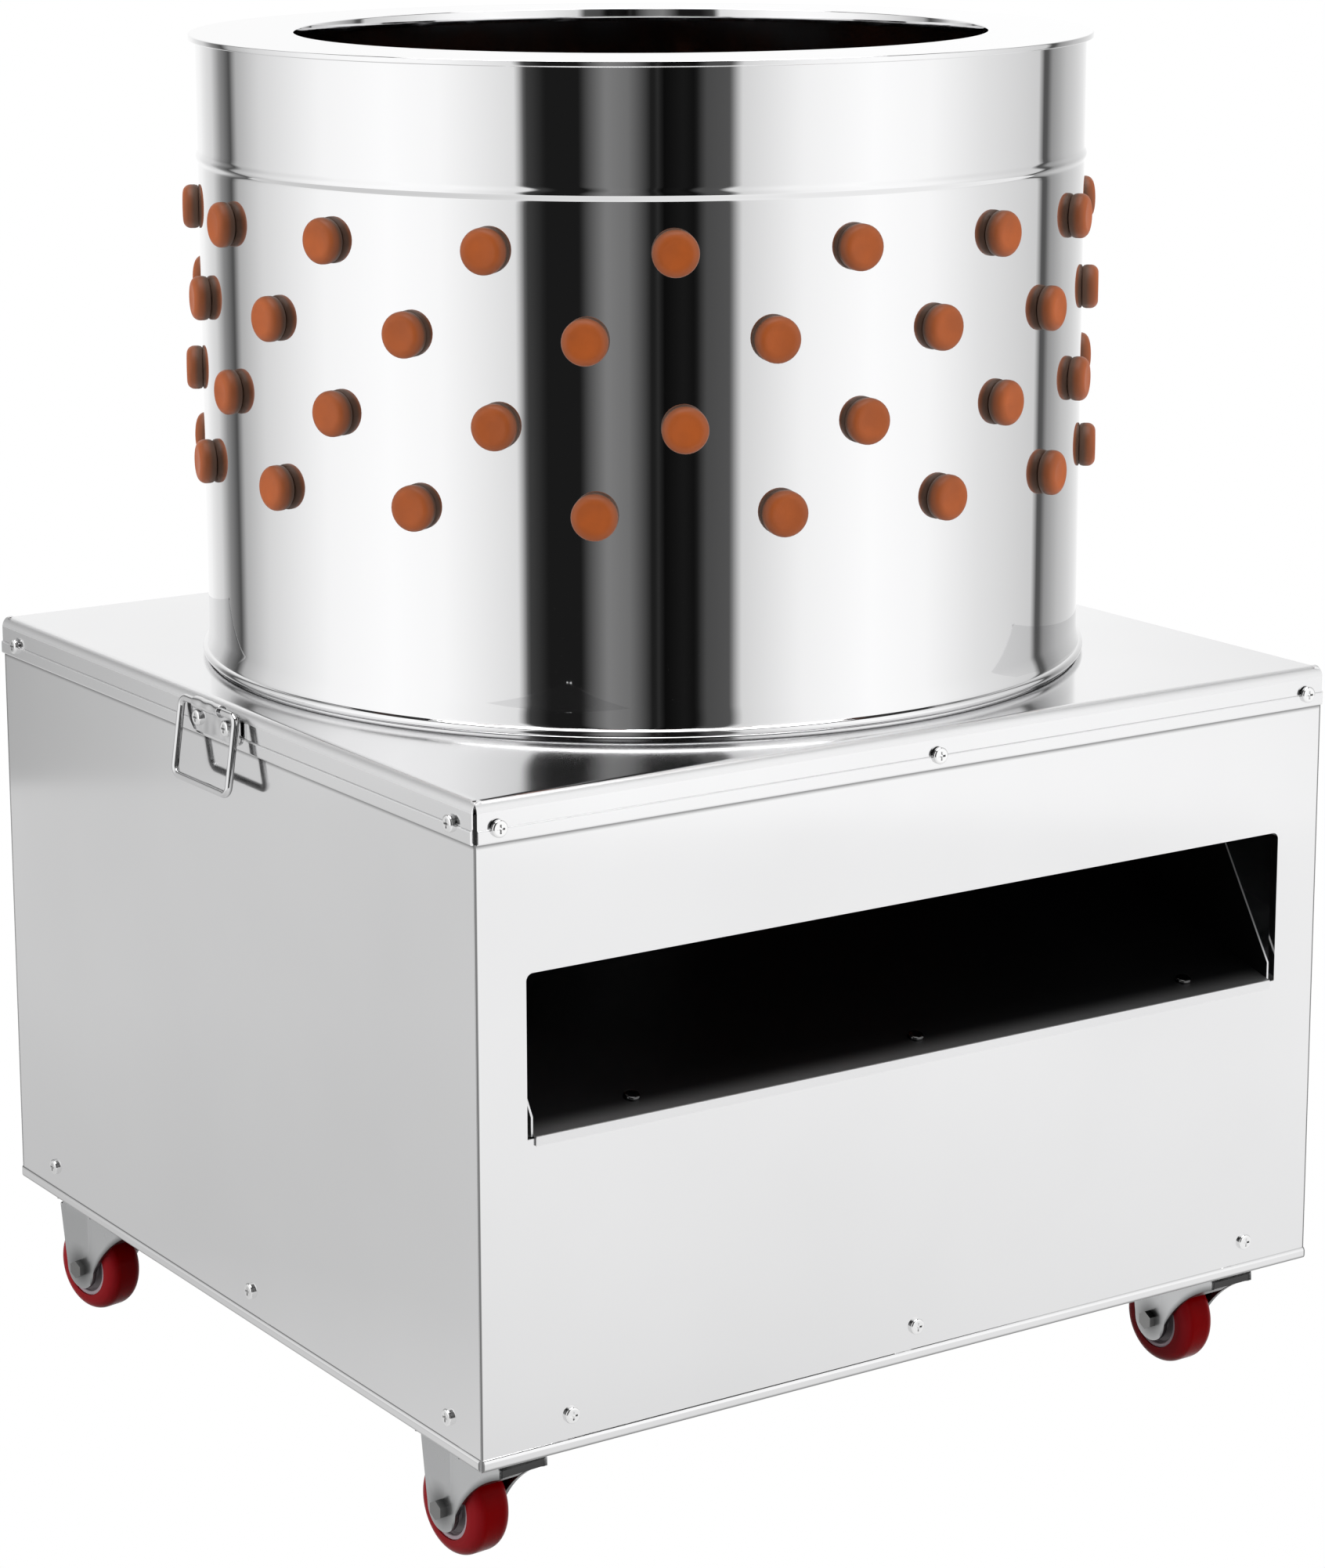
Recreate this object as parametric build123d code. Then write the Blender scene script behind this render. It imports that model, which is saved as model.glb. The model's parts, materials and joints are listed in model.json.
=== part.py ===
from build123d import *
import math
import os

# Drum poultry plucker on four swivel casters, in millimetres.
# The origin is on the floor under the drum's axis. The discharge opening faces -Y, +Z is up.

# Cabinet
box_width = 557.0  # outer face of the left panel to outer face of the right panel
box_depth = 545.0  # outer face of the front panel to outer face of the rear panel
box_height = 352.0  # top of the cover to the lower edge of the panels
sheet = 1.2  # stainless sheet of the cabinet and the chute
seam_gap = 0.2  # between neighbouring sheets
panel_drop = 2.0  # panels reach this far below the base rails
hem_height = 7.0  # rolled lower edge of the panels
hem_proud = 1.4
hem_round = 2.4
overrun = 2.0  # how far every cut runs past its piece

# Cover
lip_height = 22.0
lip_gap = 0.1
lip_bend = 6.0  # outer radius of the folded edge
lip_relief = 2.0  # lips stop this far from the corner
fold_height = 7.5  # flattened fold along the lip's lower edge
fold_proud = 0.9
cover_hole_gap = 0.2  # drum bore to the hole's edge
panel_top_gap = 0.3

# Discharge opening and chute
opening_side = 29.0  # panel's side to the opening
opening_height = 87.0
opening_drop = 92.5  # cover top to the opening's upper edge
opening_corner = 4.0
opening_return = 4.0  # depth of the folded edge round the opening
chute_slope = 14.0  # degrees
chute_edge_gap = 0.3
chute_lip = 5.0
chute_side_gap = 3.0  # opening's side to the cheek's outer face
chute_rear_gap = 0.3
cheek_rise = 9.0  # upright part of the cheek's front edge
cheek_lean = 32.0  # degrees that the rest of that edge leans back
collar_radius = 23.5  # upright collar in the chute floor, round the shaft
collar_rise = 30.0

# Frame
angle_leg = 25.0
angle_wall = 3.0
beam_width = 24.0
beam_height = 20.0
beam_wall = 2.5
beam_end_gap = 1.0
part_gap = 4.0  # room between large inner pieces

# Casters
caster_height = 80.0  # floor to the top of the mounting plate
caster_inset_x = 35.5  # panel face to kingpin
caster_inset_y = 56.5
caster_plate = 60.0
caster_plate_wall = 2.5
caster_trail = 18.0
caster_turns = {"front_left": 4.2, "front_right": 1.0, "rear_left": 11.3, "rear_right": -6.5}  # degrees
wheel_radius = 27.5
tread_width = 24.0
tread_round = 7.5
hub_radius = 18.0
hub_recess = 3.0
hub_boss_radius = 8.0
hub_rim = 2.5
fork_wall = 2.5
fork_gap = 0.3
fork_boss = 12.8  # round lower end of each leg
fork_front = 34.5
fork_front_drop = 9.7  # height of the folded front edge
fork_sweep = 3.2  # how far the swept edge over the wheel bows in
fork_flare = 5.5  # how much wider the leg's rear is at the top
fork_crease = 9.3  # axle to the crease in the leg
fork_rib = 0.8
race_radius = 21.0
race_height = 6.0
kingpin_radius = 5.0
kingpin_head = 8.0
kingpin_head_height = 2.2
axle_radius = 3.0
running_gap = 0.05
axle_head_radius = 5.5
axle_head_height = 4.0

# Drum
drum_radius = 250.0
drum_sheet = 1.5
drum_height = 352.0  # cover top to the rim's top
bead_width = 7.0
bead_proud = 1.2
bead_lift = 29.7  # top row of fingers to the bead
foot_bead = 2.6  # radius of the rolled foot
foot_bead_rise = 3.4
foot_bead_out = 0.2  # its middle outside the drum's bore, beyond its own radius
foot_flare = 10.0
foot_flare_out = 1.6
rim_overhang = 4.0
mouth_radius = 195.0
rim_sheet = 1.5
rim_fold = 3.2  # height of the folded outer edge
rim_edge_round = 0.6
rim_collar = 6.0
rim_gap = 0.1

# Rubber fingers
row_count = 4
fingers_per_row = 16
row_pitch = 45.4
row_turns = (6.1, -5.8, 5.1, -6.9)  # degrees from straight ahead, lowest row first
row_clearance = 7.5
head_radius = 12.3
head_height = 9.0
head_round = 3.0
neck_gap = 0.2
hole_radius = 10.0
seat_gap = 0.35  # lets the flat collar clear the curved sheet
collar_height = 6.0
finger_radius = 13.0
finger_root = 9.6
finger_tip = 6.6
finger_reach = 86.0
finger_ribs = 6
rib_depth = 1.1
tip_round = 3.5

# Rotor
rotor_gap = 16.5  # rotor edge to the drum's bore
rotor_lift = 8.0  # rotor underside above the cover
rotor_wall = 4.0
rotor_rim = 9.0
ring_counts = (6, 12, 18)
ring_shares = (0.41, 0.645, 0.86)
hub_flange_radius = 55.0
hub_flange_height = 8.0
hub_skirt_wall = 4.0
hub_skirt_gap = 3.0
hub_overlap = 12.0
shaft_radius = 12.5
shaft_top_radius = 10.0
nut_radius = 17.0
nut_height = 16.0
washer_radius = 20.0
washer_height = 3.0
shaft_end = 3.0

# Drive
pulley_floor_gap = 5.0  # base rails to the pulleys
pulley_width = 20.0
pulley_gap = 8.0
motor_pulley_radius = 28.0
pulley_hub = 24.0
motor_pulley_hub = 14.0
pulley_web = 6.0
groove_top = 13.0
groove_depth = 9.0
groove_floor = 7.0
belt_top = 12.0
belt_height = 7.0
belt_floor = 7.4
belt_seat = 0.6  # belt's back below the pulleys' rims
beam_lift = 35.0  # pulley top to the beams
housing_radius = 30.0
housing_gap = 2.0
housing_drop = 20.0
housing_flange = 8.0
housing_flange_reach = 14.0
housing_head_room = 30.0
bearing_radius = 23.5
bearing_width = 12.0
bearing_step = 3.0
motor_plate_wall = 6.0
motor_plate_edge = 20.0
motor_flange_step = 9.0
motor_flange_height = 8.0
motor_shaft_radius = 9.5
motor_boss = 27.0
motor_head_room = 6.0
fan_cover_share = 0.22
fan_slot_count = 10
fan_slot = 3.0
fan_wall = 1.5
fin_count = 24
fin_wall = 2.5
fin_depth = 6.0
terminal_width = 60.0
terminal_height = 50.0
terminal_depth = 26.0
terminal_share = 0.45

# Switches and cable entry, on the rear panel
switch_x = -150.0
switch_drop = 150.0
switch_width = 74.0
switch_tall = 116.0
switch_plate_wall = 2.5
switch_plate_round = 6.0
switch_box_inset = 5.0
switch_box_depth = 42.0
switch_box_wall = 2.0
button_radius = 12.0
button_proud = 7.5
button_round = 1.5
button_spacing = 44.0
button_gap = 0.3
button_travel = 4.0
button_stem = 4.0
button_stem_length = 14.0
grommet_rise = 60.0
grommet_bore = 5.0
grommet_neck = 8.0
grommet_flange = 11.0
grommet_flange_height = 3.0

# Fasteners
screw_radius = 1.9
screw_length = 8.0
screw_head = 4.6
screw_head_height = 2.3
screw_head_round = 1.3
screw_slot = 1.1
screw_slot_reach = 2.4
screw_gap = 0.1
lip_screw_drop = 14.5
foot_screw_rise = 19.5
front_lip_inset = 12.5  # panel's side to the end screws of the lip
side_lip_inset = 20.0
front_lip_share = 0.012  # middle screw
front_foot_shares = (-0.403, -0.005, 0.417)
side_foot_shares = (-0.44, -0.045, 0.414)
chute_screw_shares = (-0.355, 0.012, 0.39)
chute_screw_back = 15.0
bolt_radius = 4.0
bolt_gap = 0.2
bolt_head = 7.2
bolt_head_height = 5.3
bolt_tip = 3.0
nut_thickness = 6.5
caster_bolt_inset = 8.0

# Carrying handles
handle_shift = 3.2  # towards the front
handle_plate = 60.0
handle_plate_height = 19.5
handle_plate_wall = 1.5
handle_plate_round = 5.0
handle_screw_spacing = 33.0
handle_screw_drop = 11.5
barrel_length = 30.0
barrel_wall = 1.4
wire_radius = 2.1
bail_width = 62.8
bail_height = 43.0
bail_corner = 5.0
bail_lean = 8.0  # degrees that the hanging bail stands off the panel

# Levels and places that follow from the sizes above
half_width = box_width / 2
half_depth = box_depth / 2
panel_bottom = caster_height - panel_drop
rail_bottom = caster_height
rail_top = rail_bottom + angle_leg
cover_top = panel_bottom + box_height
cover_under = cover_top - sheet
panel_top = cover_top - lip_bend - panel_top_gap
rim_top = cover_top + drum_height
inner_half_width = half_width - sheet
inner_half_depth = half_depth - sheet
post_inner_x = inner_half_width - angle_leg
post_inner_y = inner_half_depth - angle_leg
lip_out = lip_gap + sheet
fold_out = lip_out + fold_proud
opening_width = box_width - 2 * opening_side
opening_top = cover_top - opening_drop
opening_bottom = opening_top - opening_height
slope = math.tan(math.radians(chute_slope))
floor_step = sheet / math.cos(math.radians(chute_slope))
cheek_outer = opening_width / 2 - chute_side_gap
cheek_inner = cheek_outer - sheet
chute_half = cheek_inner - seam_gap
chute_rear = inner_half_depth - chute_rear_gap
kingpin_x = half_width - caster_inset_x
kingpin_y = half_depth - caster_inset_y
caster_plate_under = caster_height - caster_plate_wall
leg_inner = tread_width / 2 + running_gap + fork_gap + fork_rib
leg_outer = leg_inner + fork_wall
race_top = caster_plate_under - fork_gap
crown_top = race_top - race_height
drum_bore = drum_radius - drum_sheet
cover_hole = drum_bore - cover_hole_gap
rim_under = rim_top - rim_sheet
neck_radius = hole_radius - neck_gap
rotor_radius = drum_bore - rotor_gap
rotor_under = cover_top + rotor_lift
rotor_top = rotor_under + rotor_wall
first_row = rotor_top + finger_reach + finger_radius + row_clearance
bead_level = first_row + (row_count - 1) * row_pitch + bead_lift
pulley_low = rail_top + pulley_floor_gap
pulley_high = pulley_low + pulley_width
pulley_mid = (pulley_low + pulley_high) / 2
beam_low = pulley_high + beam_lift
beam_high = beam_low + beam_height
bearing_beam_y = housing_radius + housing_gap + beam_width / 2
motor_beam_y = post_inner_y - part_gap - beam_width / 2
motor_room = motor_beam_y - bearing_beam_y - beam_width
motor_y = (motor_beam_y + bearing_beam_y) / 2
motor_flange_radius = motor_room / 2 - part_gap
motor_radius = motor_flange_radius - motor_flange_step
large_pulley_radius = motor_y - motor_pulley_radius - pulley_gap
housing_low = beam_low - housing_drop


def floor_under(y):
    """Height of the chute floor's lower face at depth y."""
    return opening_bottom + chute_edge_gap + (y + half_depth) * slope


def floor_over(y):
    """Height of the chute floor's upper face at depth y."""
    return floor_under(y) + floor_step


housing_high = floor_under(-housing_radius) - housing_head_room
collar_top = floor_over(0) + collar_rise
motor_top = floor_under(motor_y - motor_flange_radius) - motor_head_room
motor_low = beam_low


# Shapes used by several pieces

def block(x_low, x_high, y_low, y_high, z_low, z_high):
    centre = Pos((x_low + x_high) / 2, (y_low + y_high) / 2, (z_low + z_high) / 2)
    return centre * Box(x_high - x_low, y_high - y_low, z_high - z_low)


def rod(radius, z_low, z_high, x=0, y=0):
    return Pos(x, y, (z_low + z_high) / 2) * Cylinder(radius, z_high - z_low)


def ring(radius, bore, z_low, z_high, x=0, y=0):
    return rod(radius, z_low, z_high, x, y) - rod(bore, z_low - overrun, z_high + overrun, x, y)


def turned(points):
    """Closed outline of (radius, height) points, turned about the Z axis."""
    outline = Polyline([(radius, 0, z) for radius, z in points], close=True)
    return revolve(make_face(outline), Axis.Z)


def side_outline(points, x_low, x_high):
    """Closed outline of (y, z) points, run along X."""
    outline = Polyline([(x_low, y, z) for y, z in points], close=True)
    return extrude(make_face(outline), amount=x_high - x_low, dir=(1, 0, 0))


def facing(point, direction):
    """Place whose Z axis points along direction."""
    return Plane(origin=point, z_dir=direction).location


def turned_to(side, shape):
    """Front-facing shape turned to one side of the cabinet."""
    turns = {"front": 0, "left": -90, "rear": 180, "right": 90}
    return Rot(0, 0, turns[side]) * shape


def corners():
    """Signs of the four corners, with their names."""
    return {
        "front_left": (-1, -1),
        "front_right": (1, -1),
        "rear_left": (-1, 1),
        "rear_right": (1, 1),
    }


# Fasteners

def pan_screw():
    """Pan head screw standing on its Z axis, the clamped face at height 0."""
    head = rod(screw_head, 0, screw_head_height)
    head = fillet(head.edges().group_by(Axis.Z)[-1], screw_head_round)
    recess_floor = screw_head_height - screw_slot
    for turn in (0, 90):
        slot = block(
            -screw_slot_reach,
            screw_slot_reach,
            -screw_slot / 2,
            screw_slot / 2,
            recess_floor,
            screw_head_height + overrun,
        )
        head -= Rot(0, 0, turn) * slot
    return head + rod(screw_radius, -screw_length, 0)


def casing_screw_places():
    """Place of every pan head screw of the casing: point and outward direction."""
    places = []
    lip_z = cover_top - lip_screw_drop
    foot_z = panel_bottom + foot_screw_rise
    for side in (-1, 1):
        y_lip = side * (half_depth + fold_out)
        y_foot = side * half_depth
        x_lip = side * (half_width + fold_out)
        x_foot = side * half_width
        for x in (front_lip_inset - half_width, front_lip_share * box_width, half_width - front_lip_inset):
            places.append(((x, y_lip, lip_z), (0, side, 0)))
        for share in front_foot_shares:
            places.append(((share * box_width, y_foot, foot_z), (0, side, 0)))
        for y in (side_lip_inset - half_depth, half_depth - side_lip_inset):
            places.append(((x_lip, y, lip_z), (side, 0, 0)))
        for share in side_foot_shares:
            places.append(((x_foot, share * box_depth, foot_z), (side, 0, 0)))
        x_plate = side * (half_width + handle_plate_out())
        for offset in (-handle_screw_spacing / 2, handle_screw_spacing / 2):
            point = (x_plate, offset - handle_shift, cover_top - handle_screw_drop)
            places.append((point, (side, 0, 0)))
    return places


def chute_screw_places():
    """Screws that hold the chute floor, square to its slope."""
    y = chute_screw_back - half_depth
    up = (0, -math.sin(math.radians(chute_slope)), math.cos(math.radians(chute_slope)))
    return [((share * opening_width, y, floor_over(y)), up) for share in chute_screw_shares]


def handle_plate_out():
    """Distance from the side panel's face to the handle plate's outer face."""
    return fold_out + lip_gap + handle_plate_wall


def casing_screws():
    screw = pan_screw()
    places = casing_screw_places() + chute_screw_places()
    return Compound([facing(point, direction) * screw for point, direction in places])


def screw_bores(places):
    """Clearance holes for screws, to be cut from what they pass through."""
    bore = rod(screw_radius + screw_gap, -screw_length - overrun, 0)
    return [facing(point, direction) * bore for point, direction in places]


def hex_bolt(grip):
    """Hex bolt with its nut run up, head below height 0, clamping up to height grip."""
    head = Pos(0, 0, -bolt_head_height) * extrude(RegularPolygon(bolt_head, 6), bolt_head_height)
    shank = rod(bolt_radius, 0, grip + nut_thickness + bolt_tip)
    nut = Pos(0, 0, grip) * extrude(RegularPolygon(bolt_head, 6), nut_thickness)
    return head + shank + nut


def caster_bolt_spots(sign_x, sign_y):
    """Bolt spots of one caster plate, in plan."""
    reach = caster_plate / 2 - caster_bolt_inset
    spots = []
    for step_x in (-reach, reach):
        for step_y in (-reach, reach):
            spots.append((sign_x * kingpin_x + step_x, sign_y * kingpin_y + step_y))
    return spots


def housing_bolt_spots(side_y):
    """Bolt spots of the bearing housing over the front (-1) or the rear (1) of its beams."""
    reach_x = housing_radius + housing_flange_reach
    return [(-reach_x, side_y * bearing_beam_y), (reach_x, side_y * bearing_beam_y)]


def motor_beam_bolt_spots():
    reach_x = motor_flange_radius - motor_plate_edge / 2
    return [(sx * reach_x, y) for sx in (-1, 1) for y in (bearing_beam_y, motor_beam_y)]


def motor_flange_bolt_spots():
    reach = (motor_flange_radius - bolt_head) * math.cos(math.radians(45))
    return [(sx * reach, motor_y + sy * reach) for sx in (-1, 1) for sy in (-1, 1)]


def frame_bolts():
    bolts = []
    caster_bolt = hex_bolt(caster_plate_wall + angle_wall)
    for sign_x, sign_y in corners().values():
        for x, y in caster_bolt_spots(sign_x, sign_y):
            bolts.append(Pos(x, y, caster_plate_under) * caster_bolt)
    plate_low = beam_low - motor_plate_wall
    for x, y in housing_bolt_spots(-1):
        bolts.append(Pos(x, y, beam_low) * hex_bolt(beam_height + housing_flange))
    for x, y in housing_bolt_spots(1):
        bolts.append(Pos(x, y, plate_low) * hex_bolt(motor_plate_wall + beam_height + housing_flange))
    for x, y in motor_beam_bolt_spots():
        bolts.append(Pos(x, y, plate_low) * hex_bolt(motor_plate_wall + beam_height))
    for x, y in motor_flange_bolt_spots():
        bolts.append(Pos(x, y, plate_low) * hex_bolt(motor_plate_wall + motor_flange_height))
    return Compound(bolts)


def bolt_bores(spots, z_low, z_high):
    """Clearance holes for bolts, to be cut from what they pass through."""
    return [rod(bolt_radius + bolt_gap, z_low - overrun, z_high + overrun, x, y) for x, y in spots]


# Frame

def base_cross_rails():
    rails = []
    for side in (-1, 1):
        wall = sorted((side * inner_half_depth, side * (inner_half_depth - angle_wall)))
        leg = sorted((side * inner_half_depth, side * post_inner_y))
        rail_end = inner_half_width - angle_wall
        rail = block(-rail_end, rail_end, wall[0], wall[1], rail_bottom + angle_wall, rail_top)
        rail += block(
            -post_inner_x, post_inner_x, leg[0], leg[1], rail_bottom, rail_bottom + angle_wall
        )
        rails.append(rail - screw_bores(casing_screw_places()))
    return Compound(rails)


def base_side_rails():
    rails = []
    for side in (-1, 1):
        wall = sorted((side * inner_half_width, side * (inner_half_width - angle_wall)))
        leg = sorted((side * inner_half_width, side * post_inner_x))
        flat_top = rail_bottom + angle_wall
        rail = block(wall[0], wall[1], -inner_half_depth, inner_half_depth, rail_bottom, rail_top)
        rail += block(leg[0], leg[1], -inner_half_depth, inner_half_depth, rail_bottom, flat_top)
        for end in (-1, 1):
            pad_reach = kingpin_x - caster_plate / 2
            pad = sorted((side * pad_reach, side * inner_half_width))
            pad_y = end * kingpin_y
            rail += block(
                pad[0], pad[1], pad_y - caster_plate / 2, pad_y + caster_plate / 2, rail_bottom, flat_top
            )
            rail -= rod(
                kingpin_head + part_gap / 4,
                rail_bottom - overrun,
                flat_top + overrun,
                side * kingpin_x,
                pad_y,
            )
            rail -= bolt_bores(caster_bolt_spots(side, end), rail_bottom, flat_top)
        rails.append(rail - screw_bores(casing_screw_places()))
    return Compound(rails)


def corner_posts():
    posts = []
    for sign_x, sign_y in corners().values():
        x_out = sign_x * inner_half_width
        y_out = sign_y * inner_half_depth
        x_leg = sorted((x_out, sign_x * post_inner_x))
        y_leg = sorted((y_out, sign_y * post_inner_y))
        x_wall = sorted((x_out, x_out - sign_x * angle_wall))
        y_wall = sorted((y_out, y_out - sign_y * angle_wall))
        top = panel_top
        post = block(x_leg[0], x_leg[1], y_wall[0], y_wall[1], rail_top, top)
        post += block(x_wall[0], x_wall[1], y_leg[0], y_leg[1], rail_top, top)
        posts.append(post - screw_bores(casing_screw_places()))
    return Compound(posts)


def mid_side_rails():
    rails = []
    for side in (-1, 1):
        wall = sorted((side * inner_half_width, side * (inner_half_width - angle_wall)))
        leg = sorted((side * inner_half_width, side * post_inner_x))
        low = beam_low - angle_leg
        rail = block(wall[0], wall[1], -post_inner_y, post_inner_y, low, beam_low)
        rail += block(leg[0], leg[1], -post_inner_y, post_inner_y, beam_low - angle_wall, beam_low)
        rails.append(rail)
    return Compound(rails)


def cross_beams():
    beams = []
    half = inner_half_width - beam_end_gap
    for y in (-bearing_beam_y, bearing_beam_y, motor_beam_y):
        low = y - beam_width / 2
        high = y + beam_width / 2
        beam = block(-half, half, low, high, beam_low, beam_high)
        beam -= block(
            -half - overrun,
            half + overrun,
            low + beam_wall,
            high - beam_wall,
            beam_low + beam_wall,
            beam_high - beam_wall,
        )
        bored = housing_bolt_spots(-1) + housing_bolt_spots(1) + motor_beam_bolt_spots()
        beam -= bolt_bores([spot for spot in bored if low < spot[1] < high], beam_low, beam_high)
        beams.append(beam)
    return Compound(beams)


# Casing

def plain_panel(width, reach):
    """Front-facing panel with its outer face at y = -reach and a rolled lower edge."""
    hem_middle = panel_bottom + hem_height / 2
    panel = block(-width / 2, width / 2, -reach, sheet - reach, hem_middle, panel_top)
    hem = block(
        -width / 2,
        width / 2,
        -reach - hem_proud,
        sheet - reach,
        panel_bottom,
        panel_bottom + hem_height,
    )
    hem = fillet(hem.edges().filter_by(Axis.X).group_by(Axis.Y)[0], hem_round)
    return panel + hem


def front_panel():
    panel = plain_panel(box_width, half_depth)
    side = opening_width / 2
    opening = block(
        -side, side, -half_depth - overrun, overrun - half_depth + sheet + opening_return, opening_bottom, opening_top
    )
    opening = fillet(opening.edges().filter_by(Axis.Y).group_by(Axis.Z)[-1], opening_corner)
    folded = block(
        -side - sheet,
        side + sheet,
        sheet - half_depth,
        sheet - half_depth + opening_return,
        opening_bottom,
        opening_top + sheet,
    )
    folded = fillet(folded.edges().filter_by(Axis.Y).group_by(Axis.Z)[-1], opening_corner + sheet)
    return panel + folded - opening - screw_bores(casing_screw_places())


def rear_panel():
    panel = turned_to("rear", plain_panel(box_width, half_depth))
    z = cover_top - switch_drop
    inset = switch_box_inset
    panel -= block(
        switch_x - switch_width / 2 + inset,
        switch_x + switch_width / 2 - inset,
        inner_half_depth - overrun,
        half_depth + overrun,
        z - switch_tall / 2 + inset,
        z + switch_tall / 2 - inset,
    )
    entry = rod(grommet_neck, -sheet - overrun, overrun)
    panel -= facing((switch_x, half_depth, panel_bottom + grommet_rise), (0, 1, 0)) * entry
    return panel - screw_bores(casing_screw_places())


def side_panel(side):
    panel = turned_to(side, plain_panel(box_depth - 2 * (sheet + seam_gap), half_width))
    return panel - screw_bores(casing_screw_places())


def cover_lip(length, reach):
    """Front-facing folded lip of the cover, beside a panel face at y = -reach."""

    def at(out, z):
        return (-length / 2, -reach - out, z)

    top = cover_top
    low = cover_top - lip_height
    fold_top = low + fold_height
    bend_out = lip_out - lip_bend
    turn = lip_bend * math.sin(math.radians(45))
    inner_turn = (lip_bend - sheet) * math.sin(math.radians(45))
    corner = fold_proud * (1 - math.sin(math.radians(45)))
    bend_level = top - lip_bend
    outer = ThreePointArc(
        at(bend_out, top), at(bend_out + turn, bend_level + turn), at(lip_out, bend_level)
    )
    face = Line(at(lip_out, bend_level), at(lip_out, fold_top))
    shoulder = ThreePointArc(
        at(lip_out, fold_top),
        at(fold_out - corner, fold_top - corner),
        at(fold_out, fold_top - fold_proud),
    )
    fold = Line(at(fold_out, fold_top - fold_proud), at(fold_out, low + fold_proud))
    foot = ThreePointArc(
        at(fold_out, low + fold_proud), at(fold_out - corner, low + corner), at(lip_out, low)
    )
    under = Polyline(at(lip_out, low), at(lip_gap, low), at(lip_gap, bend_level))
    inner = ThreePointArc(
        at(lip_gap, bend_level),
        at(bend_out + inner_turn, bend_level + inner_turn),
        at(bend_out, top - sheet),
    )
    close = Line(at(bend_out, top - sheet), at(bend_out, top))
    outline = outer + face + shoulder + fold + foot + under + inner + close
    return extrude(make_face(outline), amount=length, dir=(1, 0, 0))


def top_cover():
    edge_x = half_width + lip_out - lip_bend
    edge_y = half_depth + lip_out - lip_bend
    cover = block(-edge_x, edge_x, -edge_y, edge_y, cover_under, cover_top)
    long_lip = box_width + 2 * (lip_out - lip_relief)
    short_lip = box_depth + 2 * (lip_out - lip_relief)
    for side in ("front", "rear"):
        cover += turned_to(side, cover_lip(long_lip, half_depth))
    for side in ("left", "right"):
        cover += turned_to(side, cover_lip(short_lip, half_width))
    cover -= rod(cover_hole, cover_under - overrun, cover_top + overrun)
    return cover - screw_bores(casing_screw_places())


def chute_floor():
    front = -half_depth - chute_edge_gap - sheet
    rear = chute_rear
    top = panel_top
    points = [
        (front, floor_over(front)),
        (front, floor_over(front) - chute_lip),
        (front + sheet, floor_over(front) - chute_lip),
        (front + sheet, floor_under(front + sheet)),
        (rear, floor_under(rear)),
        (rear, top),
        (rear - sheet, top),
        (rear - sheet, floor_over(rear - sheet)),
    ]
    floor = side_outline(points, -chute_half, chute_half)
    collar_low = floor_under(-collar_radius) - sheet
    floor += rod(collar_radius, collar_low, collar_top)
    floor -= rod(collar_radius - sheet, collar_low - overrun, collar_top + overrun)
    return floor - screw_bores(casing_screw_places() + chute_screw_places())


def chute_cheeks():
    front = chute_edge_gap - inner_half_depth
    top = panel_top
    knee = floor_over(front) + cheek_rise
    lean = math.tan(math.radians(cheek_lean))
    points = [
        (front, floor_under(front)),
        (front, knee),
        (front + (top - knee) * lean, top),
        (chute_rear, top),
        (chute_rear, floor_under(chute_rear)),
    ]
    return Compound([
        side_outline(points, -cheek_outer, -cheek_inner),
        side_outline(points, cheek_inner, cheek_outer),
    ])


# Drum

def finger_places():
    """Rows of drum fingers, lowest first: angle from straight ahead, and height."""
    rows = []
    for row in range(row_count):
        step = 360 / fingers_per_row
        angles = [row_turns[row] + step * index for index in range(fingers_per_row)]
        rows.append((angles, first_row + row * row_pitch))
    return rows


def on_drum(angle, z):
    """Place on the drum's outer face, Z axis outward, angle from straight ahead."""
    a = math.radians(angle)
    out = (math.sin(a), -math.cos(a), 0)
    return facing((drum_radius * out[0], drum_radius * out[1], z), out)


def drum_shell():
    """Shell of four rolled sheets, butt welded at the front, the back and both sides."""
    shell = rod(drum_radius, cover_top, rim_under)
    bead_radius = (bead_width ** 2 / 4 + bead_proud ** 2) / (2 * bead_proud)
    bead_centre = drum_radius + bead_proud - bead_radius
    shell += Pos(0, 0, bead_level) * Torus(bead_centre, bead_radius)
    foot_centre = drum_bore + foot_bead + foot_bead_out
    foot_level = cover_top + foot_bead_rise
    shell += Pos(0, 0, foot_level) * Torus(foot_centre, foot_bead)
    flare_low = foot_level + foot_bead / 2
    shell += turned([
        (drum_bore, flare_low),
        (drum_radius + foot_flare_out, flare_low),
        (drum_radius, flare_low + foot_flare),
        (drum_bore, flare_low + foot_flare),
    ])
    shell -= rod(drum_bore, cover_top - overrun, rim_under + overrun)
    hole = rod(hole_radius, -drum_sheet - bead_radius, bead_proud + overrun)
    holes = [on_drum(angle, z) * hole for angles, z in finger_places() for angle in angles]
    shell -= holes
    reach = drum_radius + 2 * rim_overhang
    sheets = []
    for x_low, x_high in ((-reach, 0), (0, reach)):
        for y_low, y_high in ((-reach, 0), (0, reach)):
            sheets += (shell & block(x_low, x_high, y_low, y_high, cover_top, rim_under)).solids()
    return Compound(sheets)


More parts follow.
